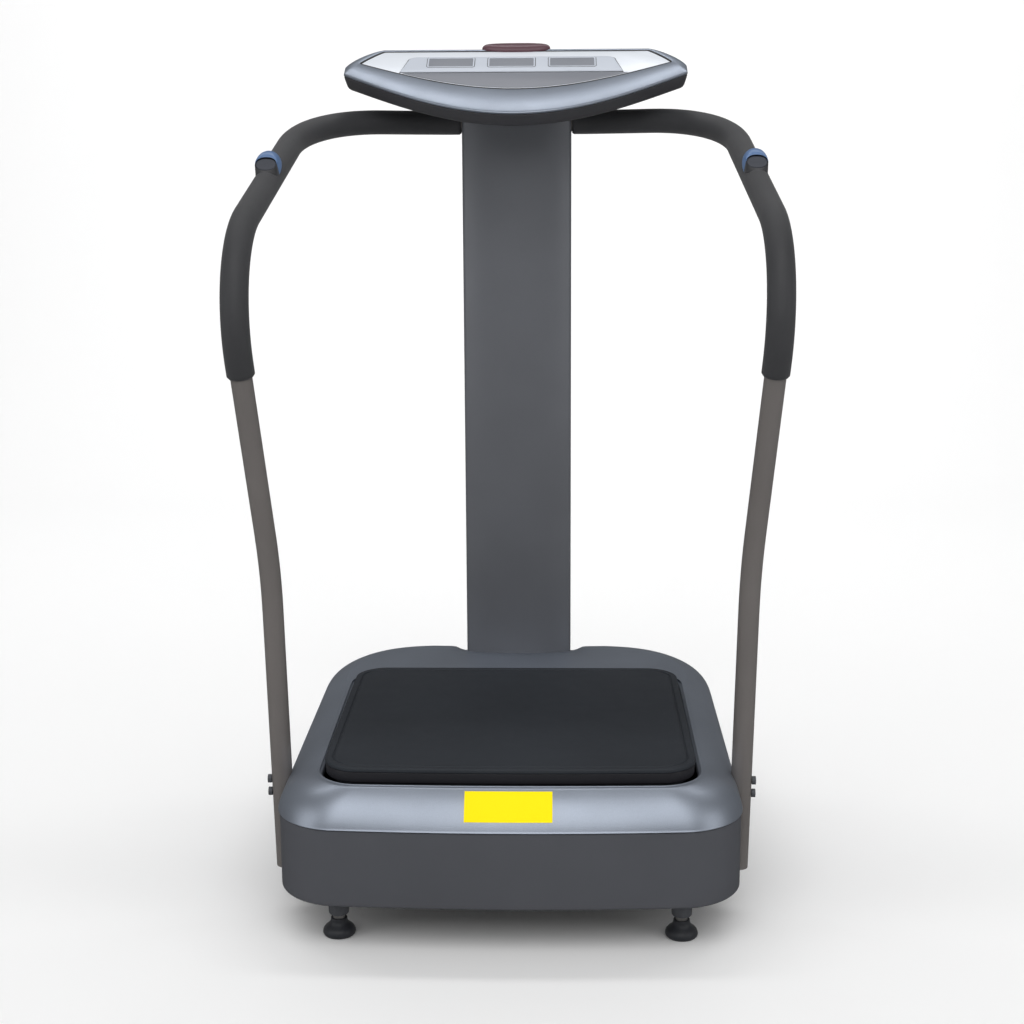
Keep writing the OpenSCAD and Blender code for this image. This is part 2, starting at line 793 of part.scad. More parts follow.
// A flanged pulley of running radius r, centred on the belt's plane
module pulley(r, bore) {
    along_y() difference() {
        union() {
            translate([0, 0, -8]) cylinder(r = r, h = 16);
            for (z = [-10, 8]) translate([0, 0, z]) cylinder(r = r + 3.5, h = 2);
        }
        translate([0, 0, -20]) cylinder(r = bore, h = 40);
    }
}

module motor_body() {
    color(STEEL) translate([-drive_x, -190, crank_z]) along_y() difference() {
        cylinder(r = motor_r, h = 130);
        translate([0, 0, 6]) cylinder(r = motor_r - 5, h = 118);
        translate([0, 0, -1]) cylinder(r = motor_shaft_r + run, h = 140);
    }
}

module motor_rotor() {
    color(STEEL) translate([-drive_x, -188, crank_z]) along_y() {
        cylinder(r = motor_shaft_r, h = 184);
        translate([0, 0, 20]) cylinder(r = motor_r - 9, h = 80);
    }
}

module motor_pulley() {
    color(STEEL) translate([-drive_x, pulley_y, crank_z]) pulley(motor_pulley_r, motor_shaft_r + run);
}

module motor_mount() {
    color(PAINT) difference() {
        union() {
            translate([-drive_x - 45, -180, deck_z + 4.05]) cube([90, 105, 18]);
            for (y = [-165, -100]) translate([-drive_x, y, crank_z]) along_y()
                cylinder(r = motor_r + 3, h = 12);
        }
        translate([-drive_x, -200, crank_z]) along_y()
            cylinder(r = motor_r + run, h = 150);
        translate([-drive_x - 50, -200, deck_z - 20]) cube([100, 150, 24.05]);
    }
}

module belt_loop(extra) {
    hull() {
        translate([drive_x, 0]) circle(driven_r + extra, $fn = 96);
        translate([-drive_x, 0]) circle(motor_pulley_r + extra, $fn = 96);
    }
}

module drive_belt() {
    color(BLACK) translate([0, pulley_y, crank_z]) rotate([90, 0, 0])
        linear_extrude(belt_w, center = true) difference() {
            belt_loop(3);
            belt_loop(0.4);
        }
}

module driven_pulley() {
    color(STEEL) translate([drive_x, pulley_y, crank_z]) pulley(driven_r, crank_r + run);
}

module crankshaft() {
    color(STEEL) translate([drive_x, 0, crank_z]) {
        translate([0, -170, 0]) along_y() cylinder(r = crank_r, h = 166);
        translate([throw, rod_y - 8, 0]) along_y() cylinder(r = crank_pin_r, h = 16);
    }
}

bearing_y = [-150, -70];

module crank_stand() {
    color(PAINT) {
        translate([drive_x - 40, -160, deck_z + 4.05]) cube([80, 100, 6]);
        for (y = bearing_y) translate([drive_x, y, 0]) rotate([90, 0, 0])
            linear_extrude(12, center = true) difference() {
                union() {
                    translate([-26, deck_z + 8]) square([52, crank_z - deck_z - 8]);
                    translate([0, crank_z]) circle(24);
                }
                translate([0, crank_z]) circle(bearing_r + run);
            }
    }
}

module crank_bearings() {
    color(STEEL) for (y = bearing_y) translate([drive_x, y - 6, crank_z]) along_y()
        ring(bearing_r, crank_r + run, 12);
}

module rod_bearing() {
    color(STEEL) translate([drive_x + throw, rod_y - rod_bearing_w / 2, crank_z]) along_y()
        ring(rod_bearing_r, crank_pin_r + run, rod_bearing_w);
}

module connecting_rod() {
    color(STEEL) translate([drive_x + throw, rod_y, 0]) {
        rotate([90, 0, 0]) linear_extrude(rod_bearing_w, center = true) difference() {
            union() {
                translate([0, crank_z]) circle(28);
                translate([-7, crank_z + 24]) square([14, rod_pin_z - crank_z - 24]);
                translate([0, rod_pin_z]) circle(8);
            }
            translate([0, crank_z]) circle(rod_bearing_r + run);
        }
        translate([0, -18, rod_pin_z]) along_y() cylinder(r = 5, h = 36);
    }
}

// ---------- feet and wheels ----------

module foot_stud(x, y) {
    color(STEEL) translate([x, y, 0]) {
        translate([0, 0, 12]) cylinder(r = stud_r, h = 93);
        translate([0, 0, 24.05]) cylinder(r = 8, h = 4.8);
    }
}

module foot_pad(x, y) {
    waist = 11;
    color(RUBBER) translate([x, y, 0]) difference() {
        rotate_extrude() polygon(concat([[0, 0], [foot_r - 3, 0]],
            arc(foot_r - 3, 3, 3, -90, 0, 6),
            [for (i = [0:8]) [lerp(foot_r, waist, (1 - cos(22.5 * i)) / 2), lerp(6, 20, i / 8)]],
            [[waist, 24], [0, 24]]));
        translate([0, 0, 11.5]) cylinder(r = stud_r + run, h = 20);
    }
}

module wheel() {
    color(RUBBER) translate([174, wheel_y, wheel_z]) rotate([0, 90, 0]) 
        ring(wheel_r, axle_r + run, wheel_w);
}

module wheel_axles() {
    color(STEEL) both_sides() {
        translate([165, wheel_y, wheel_z]) rotate([0, 90, 0]) cylinder(r = axle_r, h = 39);
        translate([162, wheel_y, wheel_z]) rotate([0, 90, 0]) cylinder(r = 6.5, h = 5.9);
    }
}

// ---------- electrics ----------

module power_inlet() {
    color(BLACK) difference() {
        union() {
            translate([inlet_x - inlet_size[0] / 2, 333, inlet_z - inlet_size[1] / 2])
                cube([inlet_size[0], 31, inlet_size[1]]);
            translate([inlet_x - 31, 363.1, inlet_z - 17]) cube([62, 1.9, 34]);
        }
        translate([inlet_x - 24, 343, inlet_z - 9]) cube([24, 30, 18]);
        translate([rocker_x - 7, 348, inlet_z - 10.4]) cube([14, 20, 20.8]);
        translate([rocker_x - 9.5, rocker_y, inlet_z]) rotate([0, 90, 0])
            cylinder(r = rocker_pin_r + run, h = 19);
    }
    color(STEEL) for (x = [-7, 0, 7])
        translate([inlet_x - 12 + x - 1, 342.5, inlet_z - 2]) cube([2, 14, 5]);
}

module power_switch() {
    color(BLACK) translate([rocker_x, rocker_y, inlet_z]) rotate([10, 0, 0]) {
        rotate([90, 0, 90]) linear_extrude(13, center = true)
            polygon([[-3, -9.3], [2.6, -9.3], [1, 0], [2.6, 9.3], [-3, 9.3]]);
        translate([-9, 0, 0]) rotate([0, 90, 0]) cylinder(r = rocker_pin_r, h = 18);
    }
}

module driver_board() {
    color("#2f5d3a") {
        translate([-70, 110, 76]) cube([140, 90, board_t]);
        for (x = [-64, 64], y = [116, 194]) translate([x, y, 64.05]) cylinder(r = 3.5, h = 12.5);
    }
    color(BLACK) {
        for (x = [-45, -20]) translate([x, 135, 77]) cylinder(r = 10, h = 28);
        translate([0, 120, 77]) cube([40, 30, 22]);
    }
}

module signal_cable() {
    color(BLACK) bent_tube([[66, 319.5, 1120], [66, 319.5, 160], [66, 226, 160], [50, 175, 79.5]],
        [20, 20], 1.4, 0);
}

// ---------- the parts by name ----------

chassis_frame();
bottom_pan();
skirt();
top_cover();
front_label();
column_front();
column_back();
column_post();
post_bolts();
rail_socket();
console_upper_shell();
console_lower_shell();
console_faceplate();
display_frame();
display_windows();
keypad_film();
infrared_lens();
control_board();
display_modules();
console_screws();
mirror([1, 0, 0]) rail();  // rail_left
rail();  // rail_right
mirror([1, 0, 0]) grip();  // grip_left
grip();  // grip_right
rail_bolts();
mirror([1, 0, 0]) pod();  // pod_left
pod();  // pod_right
mirror([1, 0, 0]) button();  // button_left
button();  // button_right
platform_mat();
platform_tray();
platform_plate();
pivot_shaft();
pivot_blocks();
motor_body();
motor_rotor();
motor_pulley();
motor_mount();
drive_belt();
driven_pulley();
crankshaft();
crank_stand();
crank_bearings();
rod_bearing();
connecting_rod();
foot_stud(-foot_x, foot_front_y);  // foot_stud_front_left
foot_stud(foot_x, foot_front_y);  // foot_stud_front_right
foot_stud(-foot_x, foot_rear_y);  // foot_stud_rear_left
foot_stud(foot_x, foot_rear_y);  // foot_stud_rear_right
foot_pad(-foot_x, foot_front_y);  // foot_pad_front_left
foot_pad(foot_x, foot_front_y);  // foot_pad_front_right
foot_pad(-foot_x, foot_rear_y);  // foot_pad_rear_left
foot_pad(foot_x, foot_rear_y);  // foot_pad_rear_right
mirror([1, 0, 0]) wheel();  // wheel_left
wheel();  // wheel_right
wheel_axles();
power_inlet();
power_switch();
driver_board();
signal_cable();
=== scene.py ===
"""The looks of the vibration plate: painted shells, foam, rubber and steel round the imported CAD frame.

Lengths are millimetres until a mesh is made. X runs left to right, Y away from the user, Z up.
"""

import json
import math

import bpy
import numpy as np
from mathutils import Euler, Matrix, Vector


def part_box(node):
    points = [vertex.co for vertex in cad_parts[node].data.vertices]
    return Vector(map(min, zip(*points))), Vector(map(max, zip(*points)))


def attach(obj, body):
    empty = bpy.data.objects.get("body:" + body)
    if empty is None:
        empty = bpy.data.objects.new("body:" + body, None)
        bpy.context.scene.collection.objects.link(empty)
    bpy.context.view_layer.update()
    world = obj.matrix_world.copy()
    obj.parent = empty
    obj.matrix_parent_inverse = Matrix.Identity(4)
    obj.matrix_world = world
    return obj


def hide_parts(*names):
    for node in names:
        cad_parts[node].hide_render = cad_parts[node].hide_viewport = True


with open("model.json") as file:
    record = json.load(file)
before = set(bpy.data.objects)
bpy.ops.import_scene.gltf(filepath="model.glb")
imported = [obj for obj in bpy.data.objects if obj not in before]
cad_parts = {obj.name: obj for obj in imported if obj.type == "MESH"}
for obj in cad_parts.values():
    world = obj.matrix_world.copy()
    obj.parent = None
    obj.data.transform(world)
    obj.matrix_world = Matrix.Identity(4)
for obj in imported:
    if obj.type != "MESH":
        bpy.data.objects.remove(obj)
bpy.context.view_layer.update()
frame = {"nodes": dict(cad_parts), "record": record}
MM = 0.001


def box(node):
    """Lowest and highest corner of a CAD node, in millimetres."""
    low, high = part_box(node)
    return np.array(low) / MM, np.array(high) / MM


# ---------- materials ----------

COLOURS = {m["slot"]: tuple(m["base_color"][:3]) for m in frame["record"]["materials"]}

# What each slot's surface is like. gain multiplies the record's colour. rough, metal, shine (the
# strength of plain reflections), coat and sheen are shares from 0 to 1. grain and depth are the size
# and height of the surface's grain in millimetres. drift is how much colour and gloss vary over the
# surface, flake is the sparkle of metallic paint, and cells adds the pores of foam.
FINISHES = {
    "powder_coat": dict(gain=1.5, rough=0.55, metal=0.1, grain=1.2, depth=0.05),
    "column_grey": dict(gain=1.32, rough=0.42, metal=0.25, coat=0.1, grain=0.9, depth=0.035, drift=0.05),
    "skirt_grey": dict(gain=1.2, rough=0.5, grain=0.8, depth=0.03, drift=0.05),
    "pan_black": dict(rough=0.6, grain=1.5, depth=0.06),
    "cover_silver": dict(rough=0.42, metal=0.85, coat=0.1, grain=0.7, depth=0.01, flake=0.08),
    "label_yellow": dict(gain=1.15, rough=0.7, shine=0.1, grain=2.0, depth=0.008, drift=0.02),
    "console_silver": dict(rough=0.4, metal=0.85, coat=0.1, grain=0.7, depth=0.01, flake=0.08),
    "console_grey": dict(gain=1.25, rough=0.42, grain=0.8, depth=0.03),
    "panel_white": dict(rough=0.38, coat=0.2, grain=1.0, depth=0.008, drift=0.02),
    "display_frame": dict(rough=0.4, coat=0.1, grain=0.9, depth=0.012, drift=0.03),
    "display_window": dict(rough=0.3, coat=0.5, grain=1.5, depth=0.006, drift=0.06),
    "keypad_grey": dict(rough=0.45, grain=0.7, depth=0.015, drift=0.04),
    "lens_red": dict(rough=0.4, coat=0.15, grain=3.0, depth=0.01, drift=0.08),
    "circuit_board": dict(rough=0.4, grain=3.0, depth=0.05),
    "display_black": dict(rough=0.3, grain=2.0, depth=0.02),
    "zinc_steel": dict(rough=0.35, metal=0.9, grain=0.8, depth=0.03, drift=0.12),
    "rail_paint": dict(gain=1.3, rough=0.4, metal=0.2, coat=0.1, grain=1.1, depth=0.03, drift=0.06),
    "grip_foam": dict(gain=1.4, rough=0.6, sheen=0.1, grain=0.9, depth=0.12, drift=0.1, cells=True),
    "pod_blue": dict(rough=0.38, coat=0.2, grain=0.7, depth=0.012, drift=0.05),
    "button_grey": dict(rough=0.6, grain=0.6, depth=0.02, drift=0.06),
    "mat_rubber": dict(gain=1.4, rough=0.62, shine=0.3, grain=0.9, depth=0.09, drift=0.08),
    "tray_black": dict(rough=0.35, shine=0.25, grain=0.8, depth=0.02),
    "shaft_steel": dict(rough=0.25, metal=1.0, grain=0.5, depth=0.01, drift=0.06),
    "motor_case": dict(rough=0.45, metal=0.6, grain=1.5, depth=0.06),
    "cast_metal": dict(rough=0.5, metal=0.8, grain=1.8, depth=0.08, drift=0.1),
    "belt_rubber": dict(rough=0.7, grain=0.8, depth=0.08),
    "foot_rubber": dict(rough=0.5, sheen=0.1, grain=0.9, depth=0.05, drift=0.1),
    "wheel_rubber": dict(rough=0.6, grain=0.9, depth=0.06, drift=0.1),
    "switch_black": dict(rough=0.35, coat=0.2, grain=0.8, depth=0.02),
    "cable_black": dict(rough=0.5, grain=0.8, depth=0.02),
}
COAT_ROUGHNESS = 0.2
COLOUR_PATCH = 160          # size of a patch of slow colour drift
GLOSS_PATCH = 60            # size of a patch of gloss drift
FLAKE_SIZE = 0.5            # of metallic paint
PORE_SIZE = 1.6             # of foam


def textured(tree, kind, size, output):
    """A texture of the object's own coordinates, with features of a size in millimetres."""
    place = tree.nodes.new("ShaderNodeTexCoord")
    texture = tree.nodes.new(kind)
    texture.inputs["Scale"].default_value = 1 / (size * MM)
    tree.links.new(place.outputs["Object"], texture.inputs["Vector"])
    return texture, texture.outputs[output]


def noise(tree, size, detail):
    """Cloudy noise with patches of a size."""
    texture, value = textured(tree, "ShaderNodeTexNoise", size, "Fac")
    texture.inputs["Detail"].default_value = detail
    return value


def remap(tree, value, low, high):
    """Spreads the middle of a noise over the range from low to high."""
    node = tree.nodes.new("ShaderNodeMapRange")
    node.inputs["From Min"].default_value = 0.3
    node.inputs["From Max"].default_value = 0.7
    node.inputs["To Min"].default_value = low
    node.inputs["To Max"].default_value = high
    tree.links.new(value, node.inputs["Value"])
    return node.outputs["Result"]


def product(tree, first, second):
    """Two values multiplied."""
    node = tree.nodes.new("ShaderNodeMath")
    node.operation = "MULTIPLY"
    tree.links.new(first, node.inputs[0])
    tree.links.new(second, node.inputs[1])
    return node.outputs["Value"]


def tinted(tree, colour, tone):
    """A colour made lighter and darker by a tone."""
    tint = tree.nodes.new("ShaderNodeVectorMath")
    tint.operation = "SCALE"
    tint.inputs[0].default_value = colour
    tree.links.new(tone, tint.inputs["Scale"])
    return tint.outputs["Vector"]


def bumped(tree, height, depth):
    """The surface's normal, roughened by a height of a depth in millimetres."""
    bump = tree.nodes.new("ShaderNodeBump")
    bump.inputs["Distance"].default_value = depth * MM
    bump.inputs["Strength"].default_value = 1.0
    tree.links.new(height, bump.inputs["Height"])
    return bump.outputs["Normal"]


def make_material(slot, rough, grain, depth, metal=0.0, coat=0.0, sheen=0.0, flake=0.0,
                  drift=0.05, cells=False, shine=0.5, gain=1.0):
    """A procedural finish: fine grain as bump, slow drift of colour and gloss, optional flakes."""
    material = bpy.data.materials.new(slot)
    material.use_nodes = True
    tree = material.node_tree
    shader = tree.nodes["Principled BSDF"]
    shares = {"Metallic": metal, "Specular IOR Level": shine, "Coat Weight": coat,
              "Coat Roughness": COAT_ROUGHNESS, "Sheen Weight": sheen}
    for name, share in shares.items():
        shader.inputs[name].default_value = share

    fine = noise(tree, grain, 2)
    tone = product(tree, remap(tree, noise(tree, COLOUR_PATCH, 3), 1 - drift, 1 + drift),
                   remap(tree, fine, 1 - drift / 2, 1 + drift / 2))
    if flake:
        tone = product(tree, tone, remap(tree, noise(tree, FLAKE_SIZE, 0), 1 - flake, 1 + flake))
    colour = tinted(tree, [gain * channel for channel in COLOURS[slot]], tone)
    gloss = remap(tree, noise(tree, GLOSS_PATCH, 4), rough - drift / 2, rough + drift / 2)
    height = fine
    if cells:
        height = product(tree, fine, textured(tree, "ShaderNodeTexVoronoi", PORE_SIZE, "Distance")[1])

    tree.links.new(colour, shader.inputs["Base Color"])
    tree.links.new(gloss, shader.inputs["Roughness"])
    tree.links.new(bumped(tree, height, depth), shader.inputs["Normal"])
    return material


MATERIALS = {slot: make_material(slot, **finish) for slot, finish in FINISHES.items()}

for part in frame["record"]["subparts"]:
    node = frame["nodes"][part["node"]]
    node.data.materials.clear()
    node.data.materials.append(MATERIALS[part["material_slot"]])


# ---------- mesh helpers ----------

def add_piece(name, skin, body, slot, replaces=(), sharp=35):
    """Makes a mesh of (vertices in millimetres, faces), smooth but for edges above the angle."""
    vertices, faces = skin
    mesh = bpy.data.meshes.new(name)
    mesh.from_pydata((np.asarray(vertices) * MM).tolist(), [], faces)
    mesh.validate()
    for face in mesh.polygons:
        face.use_smooth = True
    mesh.set_sharp_from_angle(angle=math.radians(sharp))
    mesh.materials.append(MATERIALS[slot])
    piece = bpy.data.objects.new(name, mesh)
    bpy.context.scene.collection.objects.link(piece)
    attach(piece, body)
    if replaces:
        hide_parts(*replaces)


def loft(rings, cap_start=False, cap_end=False):
    """Vertices and faces of a skin through rings with equally many points."""
    count = len(rings[0])
    faces = []
    for j in range(len(rings) - 1):
        a = j * count
        b = a + count
        for i in range(count):
            k = (i + 1) % count
            faces.append((a + i, a + k, b + k, b + i))
    if cap_start:
        faces.append(tuple(range(count - 1, -1, -1)))
    if cap_end:
        faces.append(tuple(range((len(rings) - 1) * count, len(rings) * count)))
    return np.concatenate(rings), faces


def sheet(rows):
    """An open skin through rows with equally many points."""
    count = len(rows[0])
    faces = [(j * count + i, j * count + i + 1, (j + 1) * count + i + 1, (j + 1) * count + i)
             for j in range(len(rows) - 1) for i in range(count - 1)]
    return np.concatenate(rows), faces


def join(*skins):
    """Several skins as one."""
    vertices, faces, start = [], [], 0
    for skin in skins:
        vertices.append(skin[0])
        faces += [tuple(i + start for i in face) for face in skin[1]]
        start += len(skin[0])
    return np.concatenate(vertices), faces


def turned(skin):
    """The skin with its faces turned inside out."""
    return skin[0], [tuple(reversed(face)) for face in skin[1]]


def mirrored(skin):
    """The skin's mirror image in the plane X = 0."""
    return turned((skin[0] * np.array([-1, 1, 1]), skin[1]))


def lift(outline, z):
    """Plan points at a height, or at one height for each point."""
    return np.column_stack([outline, np.broadcast_to(z, len(outline))])


def arc(cx, cy, r, start, end, steps):
    """Points of an arc, both ends included; angles in degrees."""
    a = np.radians(np.linspace(start, end, steps + 1))
    return np.column_stack([cx + r * np.cos(a), cy + r * np.sin(a)])


def between(a, b, steps):
    """The points strictly between a and b on a straight line."""
    t = np.linspace(0, 1, steps + 1)[1:-1, None]
    return np.array(a) * (1 - t) + np.array(b) * t


def smooth(low, high, value):
    """Rises from 0 at low to 1 at high, level at both ends."""
    t = np.clip((value - low) / (high - low), 0, 1)
    return t * t * (3 - 2 * t)


def revolve(profile, centre, steps=64):
    """A solid of revolution about a vertical axis, from a profile of (radius, height)."""
    a = np.linspace(0, 2 * np.pi, steps, endpoint=False)
    rings = [np.column_stack([centre[0] + max(r, 0.01) * np.cos(a),
                              centre[1] + max(r, 0.01) * np.sin(a),
                              np.full(steps, float(z))]) for r, z in profile]
    return loft(rings, cap_start=True, cap_end=True)


# ---------- the base: cover, skirt, label ----------

COVER_LOW, COVER_HIGH = box("top_cover")
MAT_LOW, MAT_HIGH = box("platform_mat")
BASE_HALF = COVER_HIGH[0]
BASE_FRONT, BASE_BACK = COVER_LOW[1], COVER_HIGH[1]
SEAM_Z = COVER_LOW[2]
SKIRT_Z = box("skirt")[0][2]
COLUMN_LOW, COLUMN_HIGH = box("column_front")
FRONT_R, REAR_R, FRONT_BOW = 80, 190, 14
REAR_POWER = 2.5            # fullness of the rear corners, 2 being round
COVER_FRONT_Z = MAT_HIGH[2] - 21
COVER_REAR_Z = MAT_HIGH[2] - 7
MAT_R, MAT_BOW = 46, 6
GAP = 5                     # between the platform and the cover's opening
RIM = 8                     # width of the rounded edge round that opening
REAR_SHOULDER = 80          # reach of the shoulder at the back, inwards from the base's outline
SHOULDER_OUT = (0.05, 0.30)     # pull of the shoulder's curve, at the back and at the front
SHOULDER_UP = (0.75, 0.62)
DIP_DEPTH, DIP_BLEND = 6.5, 25
SKIRT_INSET, SKIRT_ROLL = 2.0, 5.0
LABEL_HALF_W, LABEL_SPAN = 56.5, (0.24, 0.92)
LABEL_LOW, LABEL_HIGH = 0.05, 0.55


def plan(half, front, back, front_r, rear_r, bow=0.0, power=2.0):
    """A rounded rectangle, counter-clockwise from the front right corner, whose front bows out."""
    right, left = half - front_r, front_r - half
    quarter = arc(0, 0, 1, 0, 90, 40).clip(0) ** (2 / power) * rear_r
    rear = quarter + (half - rear_r, back - rear_r)
    points = np.concatenate([
        arc(right, front + front_r, front_r, -90, 0, 24),
        between((half, front + front_r), (half, back - rear_r), 24),
        rear,
        between((half - rear_r, back), (rear_r - half, back), 40),
        rear[::-1] * (-1, 1),
        between((-half, back - rear_r), (-half, front + front_r), 24),
        arc(left, front + front_r, front_r, 180, 270, 24),
        between((left, front), (right, front), 40)])
    near = np.clip((front + front_r - points[:, 1]) / front_r, 0, 1)
    points[:, 1] -= bow * np.cos(np.pi / 2 * points[:, 0] / half) * near
    return points


def base_plan(inset):
    """The base's outline, drawn in by an inset."""
    return plan(BASE_HALF - inset, BASE_FRONT + FRONT_BOW + inset, BASE_BACK - inset,
                FRONT_R - inset, REAR_R - inset, FRONT_BOW, REAR_POWER)


def platform_plan(grow):
    """The mat's outline, grown outwards."""
    return plan(MAT_HIGH[0] + grow, MAT_LOW[1] + MAT_BOW - grow, MAT_HIGH[1] + grow,
                MAT_R + grow, MAT_R + grow, MAT_BOW)


def cover_z(y):
    """Height of the deck, which rises slightly to the back."""
    return COVER_FRONT_Z + (COVER_REAR_Z - COVER_FRONT_Z) * (y - BASE_FRONT) / (BASE_BACK - BASE_FRONT)


def column_dip(x, y):
    """How far the deck sinks beside and round the column's foot."""
    across = 1 - smooth(COLUMN_HIGH[0] + 4, COLUMN_HIGH[0] + 24, np.abs(x))
    return DIP_DEPTH * across * smooth(COLUMN_LOW[1] - DIP_BLEND, COLUMN_LOW[1] + DIP_BLEND, y)


def bend(t, pull):
    """A quadratic curve from 0 to 1, drawn towards the value of its middle control point."""
    return 2 * t * (1 - t) * pull + t * t


def shoulder(outer, rim, t):
    """Points of the cover's rounded shoulder, from the seam at t = 0 to the deck at t = 1."""
    reach = np.linalg.norm(rim - outer, axis=1)
    front = np.clip((BASE_FRONT + FRONT_R - outer[:, 1]) / FRONT_R, 0, 1)
    back = np.clip((outer[:, 1] + REAR_R - BASE_BACK) / REAR_R, 0, 1)
    share = 1 + back * (np.minimum(1, REAR_SHOULDER / reach) - 1)
    out = bend(t, SHOULDER_OUT[0] + (SHOULDER_OUT[1] - SHOULDER_OUT[0]) * front)
    up = bend(t, SHOULDER_UP[0] + (SHOULDER_UP[1] - SHOULDER_UP[0]) * front)
    xy = outer + (rim - outer) * (out * share)[:, None]
    z = SEAM_Z + (cover_z(xy[:, 1]) - SEAM_Z) * up
    return np.column_stack([xy, z])


def sink(ring):
    """A ring of the cover, lowered by the dip."""
    return ring - np.outer(column_dip(ring[:, 0], ring[:, 1]), (0, 0, 1))


def cover_skin():
    """The top cover: seam lip, shoulder, deck, and the rounded edge round the platform."""
    outer, rim = base_plan(0), platform_plan(GAP + RIM)
    seam = [lift(base_plan(inset), SEAM_Z + rise) for inset, rise in (
        (4, -0.3), (1.4, -0.3), (0.5, 0.1), (0.1, 0.8))]
    slope = [shoulder(outer, rim, t) for t in np.linspace(0.02, 1, 25)]
    deck = []
    for t in np.linspace(0, 1, 15)[1:]:
        xy = slope[-1][:, :2] * (1 - t) + rim * t
        deck.append(lift(xy, cover_z(xy[:, 1])))
    lip = []
    for grow, drop in ((2.5, -0.9), (3.5, -1.2), (4.5, -0.9), (5.2, 0.4), (5.5, 2.5), (0.0, 3.0),
                       (-1.2, 4.0), (-1.4, 12)):
        xy = platform_plan(GAP + grow)
        lip.append(lift(xy, cover_z(xy[:, 1]) - drop))
    return loft([sink(ring) for ring in seam + slope + deck + lip])


def skirt_skin():
    """The skirt with its rolled bottom edge."""
    rings = [lift(base_plan(SKIRT_INSET + inset), SEAM_Z - drop) for inset, drop in (
        (3, 0.9), (0.8, 0.9), (0.2, 1.4), (0, 2.2))]
    rings += [lift(base_plan(SKIRT_INSET), z) for z in np.linspace(SEAM_Z - 12, SKIRT_Z + SKIRT_ROLL, 6)]
    for a in np.radians(np.linspace(0, 90, 9)[1:]):
        rings.append(lift(base_plan(SKIRT_INSET + SKIRT_ROLL * (1 - math.cos(a))),
                          SKIRT_Z + SKIRT_ROLL * (1 - math.sin(a))))
    rings.append(lift(base_plan(SKIRT_INSET + SKIRT_ROLL + 6), SKIRT_Z + 1))
    return turned(loft(rings))


def front_bow(x, half, depth):
    """How far a bowed front edge has fallen back at x, from its middle."""
    return depth - depth * np.cos(np.pi / 2 * x / half)


def thick_film(grid, low, high):
    """A closed film over a grid of points, between two heights above it."""
    slope = np.gradient(grid, axis=0)
    normal = np.stack([np.zeros_like(slope[..., 0]), -slope[..., 2], slope[..., 1]], axis=-1)
    normal /= np.linalg.norm(normal, axis=-1, keepdims=True)
    upper, faces = sheet(grid + normal * high)
    lower = sheet(grid + normal * low)[0]
    rows, columns = grid.shape[:2]
    count = rows * columns
    under = [tuple(i + count for i in reversed(face)) for face in faces]
    edge = (list(range(columns)) + [r * columns + columns - 1 for r in range(1, rows)]
            + [(rows - 1) * columns + c for c in range(columns - 2, -1, -1)]
            + [r * columns for r in range(rows - 2, 0, -1)])
    sides = [(edge[i], edge[i - 1], edge[i - 1] + count, edge[i] + count) for i in range(len(edge))]
    return np.concatenate([upper, lower]), faces + under + sides


def label_skin():
    """A thin blank label that follows the front shoulder."""
    squeeze = (MAT_HIGH[0] - MAT_R) / (BASE_HALF - FRONT_R)
    rows = []
    for t in np.linspace(*LABEL_SPAN, 17):
        out = bend(t, SHOULDER_OUT[1])
        x = np.linspace(-LABEL_HALF_W, LABEL_HALF_W, 25) / (1 - (1 - squeeze) * out)
        outer_y = BASE_FRONT + front_bow(x, BASE_HALF, FRONT_BOW)
        rim_y = MAT_LOW[1] - GAP - RIM + front_bow(x * squeeze, MAT_HIGH[0], MAT_BOW)
        rows.append(shoulder(np.column_stack([x, outer_y]), np.column_stack([x * squeeze, rim_y]), t))
    return thick_film(np.array(rows), LABEL_LOW, LABEL_HIGH)


add_piece("cover_shell", cover_skin(), "base", "cover_silver", ["top_cover"], sharp=50)
add_piece("skirt_shell", skirt_skin(), "base", "skirt_grey", ["skirt"], sharp=50)
add_piece("front_label_film", label_skin(), "base", "label_yellow", ["front_label"])


# ---------- platform ----------

TRAY_LOW = box("platform_tray")[0]


def mat_skin():
    """The rubber mat: rolled edge, raised border, groove and the wide standing field."""
    top = MAT_HIGH[2]
    profile = [(1.0, MAT_LOW[2]), (0.2, MAT_LOW[2] + 0.6), (0.0, MAT_LOW[2] + 1.6), (0.2, top - 1.8),
               (0.8, top - 0.8), (2.0, top - 0.2), (3.4, top), (8.0, top), (9.0, top - 0.2),
               (9.6, top - 0.9), (10.0, top - 1.6), (11.4, top - 1.6), (11.9, top - 0.9),
               (12.8, top - 0.4), (14.5, top - 0.25)]
    return loft([lift(platform_plan(-inset), z) for inset, z in profile], cap_start=True, cap_end=True)


def tray_skin():
    """The plastic tray under the mat, with softened edges."""
    low, high = TRAY_LOW[2], MAT_LOW[2] - 0.1
    profile = [(6, low), (2.5, low), (1.6, low + 0.8), (1.2, low + 2), (1.0, high - 1.2),
               (1.4, high - 0.4), (2.2, high)]
    return loft([lift(platform_plan(-inset), z) for inset, z in profile], cap_start=True, cap_end=True)


add_piece("mat", mat_skin(), "platform", "mat_rubber", ["platform_mat"], sharp=60)
add_piece("tray", tray_skin(), "platform", "tray_black", ["platform_tray"], sharp=60)


# ---------- console: drawn on its tilted face ----------

